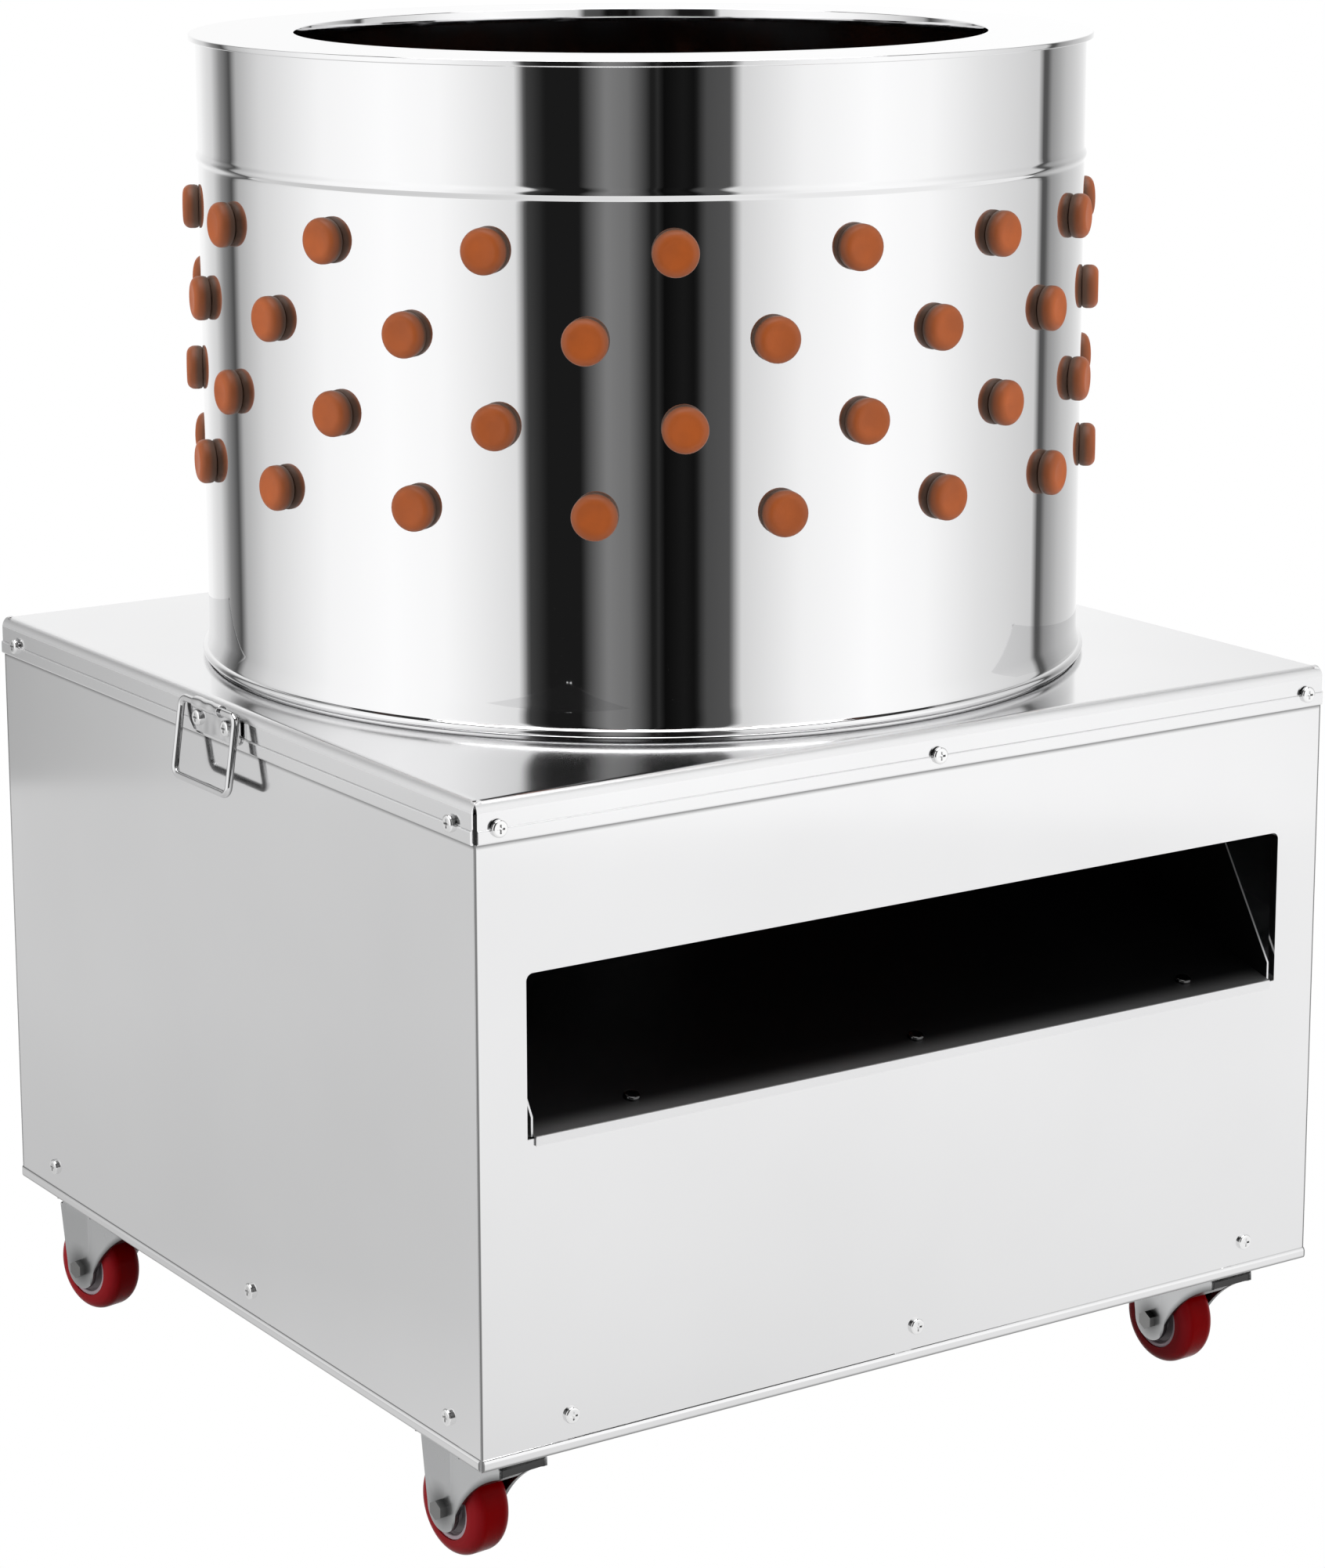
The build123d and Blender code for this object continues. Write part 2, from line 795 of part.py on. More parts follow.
def drum_rim():
    outer = drum_radius + rim_overhang
    rim = ring(outer, mouth_radius, rim_under, rim_top)
    rim += ring(outer, drum_radius + rim_gap, rim_top - rim_fold, rim_under)
    rim += ring(mouth_radius + rim_sheet, mouth_radius, rim_under - rim_collar, rim_under)
    rounded = [edge for edge in rim.edges().filter_by(GeomType.CIRCLE) if edge.radius > outer - rim_gap]
    rim = fillet(rounded, rim_edge_round)
    mouth = [
        edge
        for edge in rim.edges().filter_by(GeomType.CIRCLE).group_by(Axis.Z)[-1]
        if edge.radius < mouth_radius + rim_gap
    ]
    return fillet(mouth, rim_edge_round)


def finger(wall, seat):
    """Rubber finger on its Z axis, head up, with the plate's outer face at height 0."""
    shoulder = head_radius - head_round
    turn = head_round * math.sin(math.radians(45))
    start = (shoulder, 0, head_height)
    middle = (shoulder + turn, 0, head_height - head_round + turn)
    end = (head_radius, 0, head_height - head_round)
    collar_over = -wall - seat
    collar_under = collar_over - collar_height
    tip = -wall - finger_reach
    points = [end, (head_radius, 0, 0), (neck_radius, 0, 0), (neck_radius, 0, collar_over)]
    points += [(finger_radius, 0, collar_over), (finger_radius, 0, collar_under)]
    rib_pitch = (collar_under - tip - tip_round) / finger_ribs
    for rib in range(finger_ribs):
        share = rib / finger_ribs
        radius = finger_root + (finger_tip - finger_root) * share
        high = collar_under - rib * rib_pitch
        points += [(radius - rib_depth, 0, high), (radius - rib_depth, 0, high - rib_pitch / 3)]
        points += [(radius, 0, high - rib_pitch / 2), (radius, 0, high - rib_pitch)]
    points += [(finger_tip - tip_round / 2, 0, tip), (0, 0, tip), (0, 0, head_height), start]
    outline = ThreePointArc(start, middle, end) + Polyline(points)
    return revolve(make_face(outline), Axis.Z)


def drum_finger_row(row):
    angles, z = finger_places()[row]
    piece = finger(drum_sheet, seat_gap)
    return Compound([on_drum(angle, z) * piece for angle in angles])


# Rotor and its drive

def rotor_finger_spots():
    spots = []
    for count, share in zip(ring_counts, ring_shares):
        for index in range(count):
            a = 2 * math.pi * (index + share) / count
            spots.append((share * rotor_radius * math.cos(a), share * rotor_radius * math.sin(a)))
    return spots


def rotor_plate():
    plate = rod(rotor_radius, rotor_under, rotor_top)
    plate = fillet(plate.edges().group_by(Axis.Z)[-1], rotor_wall / 2)
    plate += ring(rotor_radius, rotor_radius - rotor_wall, rotor_under - rotor_rim, rotor_under)
    plate -= rod(shaft_top_radius, rotor_under - overrun, rotor_top + overrun)
    low = rotor_under - overrun
    high = rotor_top + overrun
    return plate - [rod(hole_radius, low, high, x, y) for x, y in rotor_finger_spots()]


def rotor_fingers():
    piece = Rot(180, 0, 0) * finger(rotor_wall, 0)
    return Compound([Pos(x, y, rotor_under) * piece for x, y in rotor_finger_spots()])


def rotor_hub():
    skirt_bore = collar_radius + hub_skirt_gap
    boss = skirt_bore + hub_skirt_wall
    low = collar_top - hub_overlap
    roof = collar_top + hub_overlap
    flange_low = rotor_under - hub_flange_height
    return turned([
        (shaft_radius, rotor_under),
        (hub_flange_radius, rotor_under),
        (hub_flange_radius, flange_low),
        (boss, flange_low),
        (boss, low),
        (skirt_bore, low),
        (skirt_bore, roof),
        (shaft_radius, roof),
    ])


def rotor_nut():
    nut = extrude(RegularPolygon(nut_radius, 6), nut_height)
    nut = Pos(0, 0, rotor_top + washer_height) * nut
    nut += rod(washer_radius, rotor_top, rotor_top + washer_height)
    return nut - rod(shaft_top_radius, rotor_top - overrun, rotor_top + washer_height + nut_height + overrun)


def main_shaft():
    shaft = rod(shaft_radius, pulley_low - shaft_end, rotor_under)
    return shaft + rod(shaft_top_radius, rotor_under, rotor_top + washer_height + nut_height + shaft_end)


def v_pulley(radius, bore, hub):
    """Pulley turned about the Z axis between the pulleys' two levels, with one V groove."""
    groove_high = pulley_mid + groove_top / 2
    groove_low = pulley_mid - groove_top / 2
    web_high = pulley_mid + pulley_web / 2
    web_low = pulley_mid - pulley_web / 2
    rim_inner = radius - groove_depth - pulley_web / 2
    points = [(bore, pulley_low), (hub, pulley_low)]
    if rim_inner > hub + pulley_web:
        points += [(hub, web_low), (rim_inner, web_low), (rim_inner, pulley_low)]
    points += [
        (radius, pulley_low),
        (radius, groove_low),
        (radius - groove_depth, pulley_mid - groove_floor / 2),
        (radius - groove_depth, pulley_mid + groove_floor / 2),
        (radius, groove_high),
        (radius, pulley_high),
    ]
    if rim_inner > hub + pulley_web:
        points += [(rim_inner, pulley_high), (rim_inner, web_high), (hub, web_high)]
    points += [(hub, pulley_high), (bore, pulley_high)]
    return turned(points)


def large_pulley():
    return v_pulley(large_pulley_radius, shaft_radius, pulley_hub)


def motor_pulley():
    return Pos(0, motor_y, 0) * v_pulley(motor_pulley_radius, motor_shaft_radius, motor_pulley_hub)


def drive_belt():
    """V belt, its section run once round both pulleys, clear of their grooves."""
    big = large_pulley_radius - belt_seat
    small = motor_pulley_radius - belt_seat
    lean = math.asin((big - small) / motor_y)
    near_x = big * math.cos(lean)
    near_y = big * math.sin(lean)
    far_x = small * math.cos(lean)
    far_y = motor_y + small * math.sin(lean)
    z = pulley_mid
    path = Line((near_x, near_y, z), (far_x, far_y, z))
    path += ThreePointArc((far_x, far_y, z), (0, motor_y + small, z), (-far_x, far_y, z))
    path += Line((-far_x, far_y, z), (-near_x, near_y, z))
    path += ThreePointArc((-near_x, near_y, z), (0, -big, z), (near_x, near_y, z))
    along = (far_x - near_x, far_y - near_y, 0)
    place = Plane(origin=(near_x, near_y, z), x_dir=(0, 0, 1), z_dir=along)
    outline = Polyline(
        (-belt_top / 2, 0),
        (belt_top / 2, 0),
        (belt_floor / 2, -belt_height),
        (-belt_floor / 2, -belt_height),
        close=True,
    )
    return sweep(place * make_face(outline), path)


def bearing_housing():
    bore = bearing_radius - bearing_step
    flange_reach = bearing_beam_y + beam_width / 2
    housing = rod(housing_radius, housing_low, housing_high)
    side = housing_radius + 2 * housing_flange_reach
    flange = block(-side, side, -flange_reach, flange_reach, beam_high, beam_high + housing_flange)
    housing += fillet(flange.edges().filter_by(Axis.Z), housing_flange_reach)
    housing -= rod(bore, housing_low - overrun, housing_high + overrun)
    housing -= rod(bearing_radius, housing_low - overrun, housing_low + bearing_width)
    housing -= rod(bearing_radius, housing_high - bearing_width, housing_high + overrun)
    spots = housing_bolt_spots(-1) + housing_bolt_spots(1)
    return housing - bolt_bores(spots, beam_high, beam_high + housing_flange)


def shaft_bearings():
    bore = shaft_radius + running_gap
    return Compound([
        ring(bearing_radius, bore, housing_low, housing_low + bearing_width),
        ring(bearing_radius, bore, housing_high - bearing_width, housing_high),
    ])


def motor_plate():
    half = motor_flange_radius
    low = beam_low - motor_plate_wall
    y_low = bearing_beam_y - beam_width / 2
    y_high = motor_beam_y + beam_width / 2
    plate = block(-half, half, y_low, y_high, low, beam_low)
    plate = fillet(plate.edges().filter_by(Axis.Z), motor_plate_edge / 2)
    plate -= rod(motor_boss, low - overrun, beam_low + overrun, 0, motor_y)
    spots = housing_bolt_spots(1) + motor_beam_bolt_spots() + motor_flange_bolt_spots()
    return plate - bolt_bores(spots, low, beam_low)


def motor_split():
    """Level where the fan cover takes over from the finned body."""
    return motor_top - (motor_top - motor_low) * fan_cover_share


def motor_body():
    flange_top = motor_low + motor_flange_height
    body = rod(motor_flange_radius, motor_low, flange_top, 0, motor_y)
    core = motor_radius - fin_depth
    body += rod(core, flange_top, motor_split(), 0, motor_y)
    for index in range(fin_count):
        fin = block(
            core - fin_wall,
            motor_radius,
            -fin_wall / 2,
            fin_wall / 2,
            flange_top + nut_thickness + part_gap,
            motor_split() - part_gap,
        )
        body += Pos(0, motor_y, 0) * Rot(0, 0, 360 / fin_count * index) * fin
    body -= rod(motor_shaft_radius + running_gap, motor_low - overrun, flange_top, 0, motor_y)
    return body - bolt_bores(motor_flange_bolt_spots(), motor_low, flange_top)


def motor_fan_cover():
    low = motor_split()
    cover = rod(motor_radius, low, motor_top, 0, motor_y)
    cover = fillet(cover.edges().group_by(Axis.Z)[-1], part_gap)
    cover -= rod(motor_radius - fan_wall, low + fan_wall, motor_top - fan_wall, 0, motor_y)
    for index in range(fan_slot_count):
        slot = block(
            motor_radius / 3,
            motor_radius - fin_depth - fan_wall,
            -fan_slot / 2,
            fan_slot / 2,
            motor_top - fan_wall - overrun / 2,
            motor_top + overrun,
        )
        cover -= Pos(0, motor_y, 0) * Rot(0, 0, 360 / fan_slot_count * index) * slot
    return cover


def motor_terminal_box():
    z = motor_low + (motor_top - motor_low) * terminal_share
    half_y = terminal_width / 2
    half_z = terminal_height / 2
    box = block(
        motor_radius - fin_depth,
        motor_radius + terminal_depth,
        motor_y - half_y,
        motor_y + half_y,
        z - half_z,
        z + half_z,
    )
    box = fillet(box.edges().group_by(Axis.X)[-1], part_gap)
    body_room = rod(motor_radius + fork_gap, motor_low, motor_top, 0, motor_y)
    return box - body_room


def motor_shaft():
    return rod(motor_shaft_radius, pulley_low - shaft_end, motor_low + motor_flange_height - shaft_end, 0, motor_y)


# Switches and cable entry

def switch_level():
    return cover_top - switch_drop


def button_levels():
    return {
        "start": switch_level() + button_spacing / 2,
        "stop": switch_level() - button_spacing / 2,
    }


def switch_plate():
    z = switch_level()
    plate = block(
        switch_x - switch_width / 2,
        switch_x + switch_width / 2,
        half_depth,
        half_depth + switch_plate_wall,
        z - switch_tall / 2,
        z + switch_tall / 2,
    )
    plate = fillet(plate.edges().filter_by(Axis.Y), switch_plate_round)
    bore = rod(button_radius + button_gap, -switch_plate_wall - overrun, overrun)
    for level in button_levels().values():
        plate -= facing((switch_x, half_depth + switch_plate_wall, level), (0, 1, 0)) * bore
    return plate


def switch_box():
    z = switch_level()
    inset = switch_box_inset + seam_gap
    half_x = switch_width / 2 - inset
    half_z = switch_tall / 2 - inset
    deep = half_depth - switch_box_depth
    box = block(switch_x - half_x, switch_x + half_x, deep, half_depth, z - half_z, z + half_z)
    wall = switch_box_wall
    box -= block(
        switch_x - half_x + wall,
        switch_x + half_x - wall,
        deep + wall,
        half_depth + overrun,
        z - half_z + wall,
        z + half_z - wall,
    )
    return box


def push_button(name):
    level = button_levels()[name]
    cap_low = -switch_plate_wall - button_travel
    cap = rod(button_radius, cap_low, button_proud)
    cap = fillet(cap.edges().group_by(Axis.Z)[-1], button_round)
    cap += rod(button_stem, cap_low - button_stem_length, cap_low)
    return facing((switch_x, half_depth + switch_plate_wall, level), (0, 1, 0)) * cap


def cable_grommet():
    half_flange = grommet_flange_height
    outline = turned([
        (grommet_bore, half_flange),
        (grommet_neck, half_flange),
        (grommet_flange, 0),
        (grommet_neck - neck_gap, 0),
        (grommet_neck - neck_gap, -sheet),
        (grommet_flange, -sheet),
        (grommet_neck, -sheet - half_flange),
        (grommet_bore, -sheet - half_flange),
    ])
    return facing((switch_x, half_depth, panel_bottom + grommet_rise), (0, 1, 0)) * outline


# Carrying handles

def barrel_out():
    """Distance from the side panel's face to the bail's hinge axis."""
    return handle_plate_out() + wire_radius + running_gap


def barrel_level():
    return cover_top - wire_radius - seam_gap


def handle_bracket(side):
    """Screwed plate with a rolled barrel; side is -1 on the left and 1 on the right."""
    low = cover_top - handle_plate_height
    high = barrel_level()
    faces = sorted((side * (half_width + fold_out + lip_gap), side * (half_width + handle_plate_out())))
    half = handle_plate / 2
    plate = block(faces[0], faces[1], -handle_shift - half, half - handle_shift, low, high)
    plate = fillet(plate.edges().filter_by(Axis.X).group_by(Axis.Z)[0], handle_plate_round)
    axis_x = side * (half_width + barrel_out())
    outer = wire_radius + running_gap + barrel_wall
    place = facing((axis_x, -handle_shift - barrel_length / 2, barrel_level()), (0, 1, 0))
    bracket = plate + place * rod(outer, 0, barrel_length)
    bracket -= place * rod(wire_radius + running_gap, -overrun, barrel_length + overrun)
    for end in (-1, 1):
        notch = sorted((end * barrel_length / 2, end * (half + overrun)))
        bracket -= block(
            axis_x - 2 * outer,
            axis_x + 2 * outer,
            notch[0] - handle_shift,
            notch[1] - handle_shift,
            high - outer,
            high + outer,
        )
    return bracket - screw_bores(casing_screw_places())


def handle_brackets():
    return Compound([handle_bracket(-1), handle_bracket(1)])


def handle_bail(side):
    """Closed wire loop on the bracket's hinge axis, leaning out at rest."""
    half = bail_width / 2
    corners_of_loop = [(0, half, 0), (0, half, -bail_height), (0, -half, -bail_height), (0, -half, 0)]
    path = FilletPolyline(corners_of_loop, radius=bail_corner, close=True)
    start = path @ 0
    section = Plane(origin=start, z_dir=path % 0) * Circle(wire_radius)
    loop = sweep(section, path)
    axis = Pos(side * (half_width + barrel_out()), -handle_shift, barrel_level())
    return axis * Rot(0, -side * bail_lean, 0) * loop


# Casters, each made about its own kingpin, with the wheel trailing towards the rear

def at_kingpin(sign_x, sign_y):
    return Pos(sign_x * kingpin_x, sign_y * kingpin_y, 0)


def caster_plates():
    plates = []
    half = caster_plate / 2
    for sign_x, sign_y in corners().values():
        plate = block(-half, half, -half, half, caster_plate_under, caster_height)
        plate = fillet(plate.edges().filter_by(Axis.Z), caster_plate_wall)
        plate = at_kingpin(sign_x, sign_y) * plate
        spots = caster_bolt_spots(sign_x, sign_y)
        plate -= bolt_bores(spots, caster_plate_under, caster_height)
        plate -= rod(
            kingpin_radius + running_gap,
            caster_plate_under - overrun,
            caster_height + overrun,
            sign_x * kingpin_x,
            sign_y * kingpin_y,
        )
        plates.append(plate)
    return Compound(plates)


def fork_leg(x_low, x_high):
    """Side of the fork: narrow round the axle, swept over the wheel to the front edge."""
    heel = caster_trail + fork_boss
    toe = caster_trail - fork_boss
    shoulder = crown_top - race_height
    front_low = crown_top - fork_front_drop

    def at(y, z):
        return (x_low, y, z)

    outline = Polyline(
        at(toe, wheel_radius),
        at(heel, wheel_radius),
        at(heel + fork_flare, shoulder),
        at(heel + fork_flare - race_height, crown_top),
        at(-fork_front, crown_top),
        at(-fork_front, front_low),
    )
    swept = ThreePointArc(
        at(-fork_front, front_low),
        at((toe - fork_front) / 2 + fork_sweep, (front_low + wheel_radius) / 2 + fork_sweep),
        at(toe, wheel_radius),
    )
    leg = extrude(make_face(outline + swept), amount=x_high - x_low, dir=(1, 0, 0))
    end = facing((x_low, caster_trail, wheel_radius), (1, 0, 0)) * rod(fork_boss, 0, x_high - x_low)
    return leg + end


def at_fork(corner):
    """Place of one fork on its kingpin, swivelled as it rests."""
    sign_x, sign_y = corners()[corner]
    return at_kingpin(sign_x, sign_y) * Rot(0, 0, caster_turns[corner])


def caster_fork(corner):
    crown_low = crown_top - fork_wall
    rear = caster_trail + fork_boss + fork_flare - race_height
    fork = block(-leg_outer, leg_outer, -fork_front, rear, crown_low, crown_top)
    fork += block(
        -leg_outer, leg_outer, -fork_front, fork_wall - fork_front, crown_top - fork_front_drop, crown_top
    )
    fork += fork_leg(-leg_outer, -leg_inner)
    fork += fork_leg(leg_inner, leg_outer)
    rib_front = caster_trail - fork_crease
    rib_rear = caster_trail + fork_boss
    for side in (-1, 1):
        rib_x = sorted((side * leg_outer, side * (leg_outer + fork_rib)))
        fork += block(rib_x[0], rib_x[1], rib_front, rib_rear, wheel_radius + fork_boss, crown_top - race_height)
    fork += rod(race_radius, crown_top, race_top - race_height / 3)
    fork += rod(race_radius - race_height / 2, crown_top, race_top)
    fork += rod(kingpin_radius, crown_top, caster_height + fork_gap)
    fork += rod(kingpin_head, caster_height + fork_gap, caster_height + fork_gap + kingpin_head_height)
    bore = rod(axle_radius + running_gap, -2 * leg_outer, 2 * leg_outer)
    fork -= facing((0, caster_trail, wheel_radius), (1, 0, 0)) * bore
    return at_fork(corner) * fork


def at_axle(corner):
    """Place with its Z axis along the wheel's axle, at the wheel's middle."""
    return at_fork(corner) * facing((0, caster_trail, wheel_radius), (1, 0, 0))


def caster_tread(corner):
    half = tread_width / 2
    tread = rod(wheel_radius, -half, half)
    rims = tread.edges().filter_by(GeomType.CIRCLE)
    tread = fillet(rims, tread_round)
    tread -= rod(hub_radius, -half - overrun, half + overrun)
    return at_axle(corner) * tread


def caster_hub(corner):
    half = tread_width / 2 - fork_rib
    web = half - hub_recess
    boss = leg_inner - fork_gap
    hub = rod(hub_radius, -half, half)
    for side in (-1, 1):
        dish = sorted((side * web, side * (half + overrun)))
        hub -= rod(hub_radius - hub_rim, dish[0], dish[1])
    hub += rod(hub_boss_radius, -boss, boss)
    hub -= rod(axle_radius + running_gap, -boss - overrun, boss + overrun)
    return at_axle(corner) * hub


def caster_axle(corner):
    end = leg_outer
    axle = rod(axle_radius, -end, end + axle_head_height + axle_radius / 2)
    head = extrude(RegularPolygon(axle_head_radius, 6), axle_head_height)
    axle += Pos(0, 0, -end - axle_head_height) * head
    axle += Pos(0, 0, end) * head
    return at_axle(corner) * axle


# All pieces, by name

def pieces():
    made = {
        "base_cross_rails": base_cross_rails(),
        "base_side_rails": base_side_rails(),
        "corner_posts": corner_posts(),
        "mid_side_rails": mid_side_rails(),
        "cross_beams": cross_beams(),
        "top_cover": top_cover(),
        "front_panel": front_panel(),
        "rear_panel": rear_panel(),
        "left_panel": side_panel("left"),
        "right_panel": side_panel("right"),
        "chute_floor": chute_floor(),
        "chute_cheeks": chute_cheeks(),
        "drum_shell": drum_shell(),
        "drum_rim": drum_rim(),
        "casing_screws": casing_screws(),
        "frame_bolts": frame_bolts(),
        "handle_brackets": handle_brackets(),
        "left_handle_bail": handle_bail(-1),
        "right_handle_bail": handle_bail(1),
        "motor_body": motor_body(),
        "motor_fan_cover": motor_fan_cover(),
        "motor_terminal_box": motor_terminal_box(),
        "motor_plate": motor_plate(),
        "motor_shaft": motor_shaft(),
        "motor_pulley": motor_pulley(),
        "bearing_housing": bearing_housing(),
        "shaft_bearings": shaft_bearings(),
        "main_shaft": main_shaft(),
        "rotor_plate": rotor_plate(),
        "rotor_fingers": rotor_fingers(),
        "rotor_hub": rotor_hub(),
        "rotor_nut": rotor_nut(),
        "large_pulley": large_pulley(),
        "drive_belt": drive_belt(),
        "switch_plate": switch_plate(),
        "switch_box": switch_box(),
        "start_button": push_button("start"),
        "stop_button": push_button("stop"),
        "cable_grommet": cable_grommet(),
        "caster_plates": caster_plates(),
    }
    for row in range(row_count):
        made[f"drum_fingers_row_{row + 1}"] = drum_finger_row(row)
    for corner in corners():
        made[f"caster_fork_{corner}"] = caster_fork(corner)
        made[f"caster_tread_{corner}"] = caster_tread(corner)
        made[f"caster_hub_{corner}"] = caster_hub(corner)
        made[f"caster_axle_{corner}"] = caster_axle(corner)
    return made


os.makedirs("parts", exist_ok=True)
for name, shape in pieces().items():
    export_step(shape, f"parts/{name}.step")
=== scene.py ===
import json
import math

import bmesh
import bpy
import numpy as np
from mathutils import Matrix, Vector


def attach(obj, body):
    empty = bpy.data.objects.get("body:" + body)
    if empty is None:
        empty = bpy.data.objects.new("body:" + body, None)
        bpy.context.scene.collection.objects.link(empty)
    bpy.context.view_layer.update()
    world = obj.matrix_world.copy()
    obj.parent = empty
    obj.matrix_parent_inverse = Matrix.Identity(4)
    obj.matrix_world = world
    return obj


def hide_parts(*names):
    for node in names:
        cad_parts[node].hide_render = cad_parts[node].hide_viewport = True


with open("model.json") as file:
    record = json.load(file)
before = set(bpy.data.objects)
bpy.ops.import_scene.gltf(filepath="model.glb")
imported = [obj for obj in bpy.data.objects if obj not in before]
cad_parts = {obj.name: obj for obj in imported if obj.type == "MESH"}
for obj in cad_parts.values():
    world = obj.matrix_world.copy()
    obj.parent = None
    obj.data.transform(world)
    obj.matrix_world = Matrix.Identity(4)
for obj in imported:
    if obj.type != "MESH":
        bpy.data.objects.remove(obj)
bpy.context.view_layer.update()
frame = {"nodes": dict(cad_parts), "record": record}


nodes = frame["nodes"]
corners = {
    "front_left": (-1, -1),
    "front_right": (1, -1),
    "rear_left": (-1, 1),
    "rear_right": (1, 1),
}

# Meshes


# Quads between neighbouring points of a rows x columns grid.
def gridFaces(rows, columns, closeRows, closeColumns):
    r = np.arange(rows if closeRows else rows - 1)
    c = np.arange(columns if closeColumns else columns - 1)
    r, c = np.meshgrid(r, c, indexing="ij")
    up = (r + 1) % rows
    on = (c + 1) % columns
    quads = np.stack([r * columns + c, r * columns + on, up * columns + on, up * columns + c], -1)
    return quads.reshape(-1, 4)


# Piece whose mesh has its points in millimetres
def openPiece(name, points, faces):
    mesh = bpy.data.meshes.new(name)
    mesh.from_pydata((np.asarray(points, float) * 0.001).tolist(), [], faces)
    mesh.update()
    piece = bpy.data.objects.new(name, mesh)
    bpy.context.scene.collection.objects.link(piece)
    return piece


# Closed smooth piece, faces outward; edges over sharpAngle degrees stay sharp.
def newPiece(name, points, faces, sharpAngle=35.0):
    piece = openPiece(name, points, faces)
    mesh = piece.data
    shape = bmesh.new()
    shape.from_mesh(mesh)
    bmesh.ops.recalc_face_normals(shape, faces=shape.faces)
    shape.to_mesh(mesh)
    shape.free()
    mesh.polygons.foreach_set("use_smooth", np.ones(len(mesh.polygons), bool))
    if sharpAngle:
        mesh.set_sharp_from_angle(angle=math.radians(sharpAngle))
    mesh.update()
    return piece


def bevelled(piece, width):
    bevel = piece.modifiers.new("edges", "BEVEL")
    bevel.width = width * 0.001
    bevel.segments = 3
    bevel.angle_limit = math.radians(35)
    bevel.harden_normals = True


# Points centre + radius (cos t, sin t), t from start to end in degrees.
def arc(centre, radius, start, end, steps):
    t = np.radians(np.linspace(start, end, steps))
    return [(centre[0] + radius * math.cos(a), centre[1] + radius * math.sin(a)) for a in t]


# Each (r, z) of the profile goes round as (r cos a, r sin a, z), a = 2 pi j / segments.
def turnedPoints(profile, segments):
    rz = np.asarray(profile, float)
    a = 2 * np.pi * np.arange(segments) / segments
    x = rz[:, :1] * np.cos(a)[None]
    y = rz[:, :1] * np.sin(a)[None]
    z = np.repeat(rz[:, 1:], segments, 1)
    return np.stack([x, y, z], -1).reshape(-1, 3)


# Points carried by a 4 x 4 place.
def moved(points, place):
    m = np.array(place, float)
    return np.asarray(points, float) @ m[:3, :3].T + m[:3, 3]


# Place at point whose Z axis runs along direction.
def facing(point, direction):
    spin = Vector(direction).to_track_quat("Z", "Y").to_matrix().to_4x4()
    return Matrix.Translation(Vector(point)) @ spin


# Several (points, faces) joined into one.
def gathered(parts):
    points = []
    faces = []
    count = 0
    for p, f in parts:
        points.append(np.asarray(p, float))
        faces.extend(tuple(int(i) + count for i in face) for face in f)
        count += len(p)
    return np.concatenate(points), faces


# Closed ring solid: the profile is a closed outline that stays off the axis.
def turnedSolid(profile, segments):
    points = turnedPoints(profile, segments)
    faces = gridFaces(len(profile), segments, True, True)
    return points, faces.tolist()


# Solid whose profile runs from the axis at one end to the axis at the other.
def cappedSolid(profile, segments):
    inner = turnedPoints(profile[1:-1], segments)
    rows = len(profile) - 2
    points = np.concatenate([inner, [[0, 0, profile[0][1]], [0, 0, profile[-1][1]]]])
    faces = gridFaces(rows, segments, False, True).tolist()
    first = rows * segments
    for j in range(segments):
        k = (j + 1) % segments
        faces.append((k, j, first))
        faces.append(((rows - 1) * segments + j, (rows - 1) * segments + k, first + 1))
    return points, faces


# Round wire along a closed path: every ring stands square to the path, one of its axes being across.
def roundWire(path, radius, across, sides):
    middle = np.asarray(path, float)
    ahead = np.roll(middle, -1, 0) - np.roll(middle, 1, 0)
    ahead /= np.linalg.norm(ahead, axis=1)[:, None]
    side = np.cross(ahead, across)
    turn = (2 * np.pi * np.arange(sides) / sides)[None, :, None]
    ring = side[:, None] * np.cos(turn) + np.asarray(across)[None, None] * np.sin(turn)
    points = middle[:, None] + radius * ring
    return points.reshape(-1, 3), gridFaces(len(middle), sides, True, True).tolist()


# Flat outline of (y, z) points with thickness from xLow to xHigh.
def plateSolid(outline, xLow, xHigh):
    count = len(outline)
    points = [(x, y, z) for x in (xLow, xHigh) for y, z in outline]
    faces = [tuple(range(count - 1, -1, -1)), tuple(range(count, 2 * count))]
    for i in range(count):
        j = (i + 1) % count
        faces.append((i, j, count + j, count + i))
    return points, faces


# Same solid at several places.
def repeated(solid, places):
    points, faces = solid
    return gathered([(moved(points, place), faces) for place in places])


# Polygons of a piece for which test(centres), in metres, is true
def facesWhere(piece, test):
    centres = np.empty(len(piece.data.polygons) * 3)
    piece.data.polygons.foreach_get("center", centres)
    return test(centres.reshape(-1, 3))


# A number at each point for the materials: "shade" is how far the overlay tone covers it, mostly painted
# shade; "glow" how bright.
def pointValues(piece, name, values):
    attribute = piece.data.attributes.new(name, "FLOAT", "POINT")
    attribute.data.foreach_set("value", np.asarray(values, np.float32))


def paintFaces(piece, chosen, index):
    indices = np.zeros(len(piece.data.polygons), np.int32)
    indices[chosen] = index
    piece.data.polygons.foreach_set("material_index", indices)
    piece.data.update()


# Materials


def nodeIn(tree, kind, **values):
    node = tree.nodes.new(kind)
    for key, value in values.items():
        setattr(node, key, value)
    return node


# Input fed by a socket, or set to a plain number
def feed(tree, entry, value):
    if isinstance(value, (int, float)):
        entry.default_value = value
    else:
        tree.links.new(value, entry)


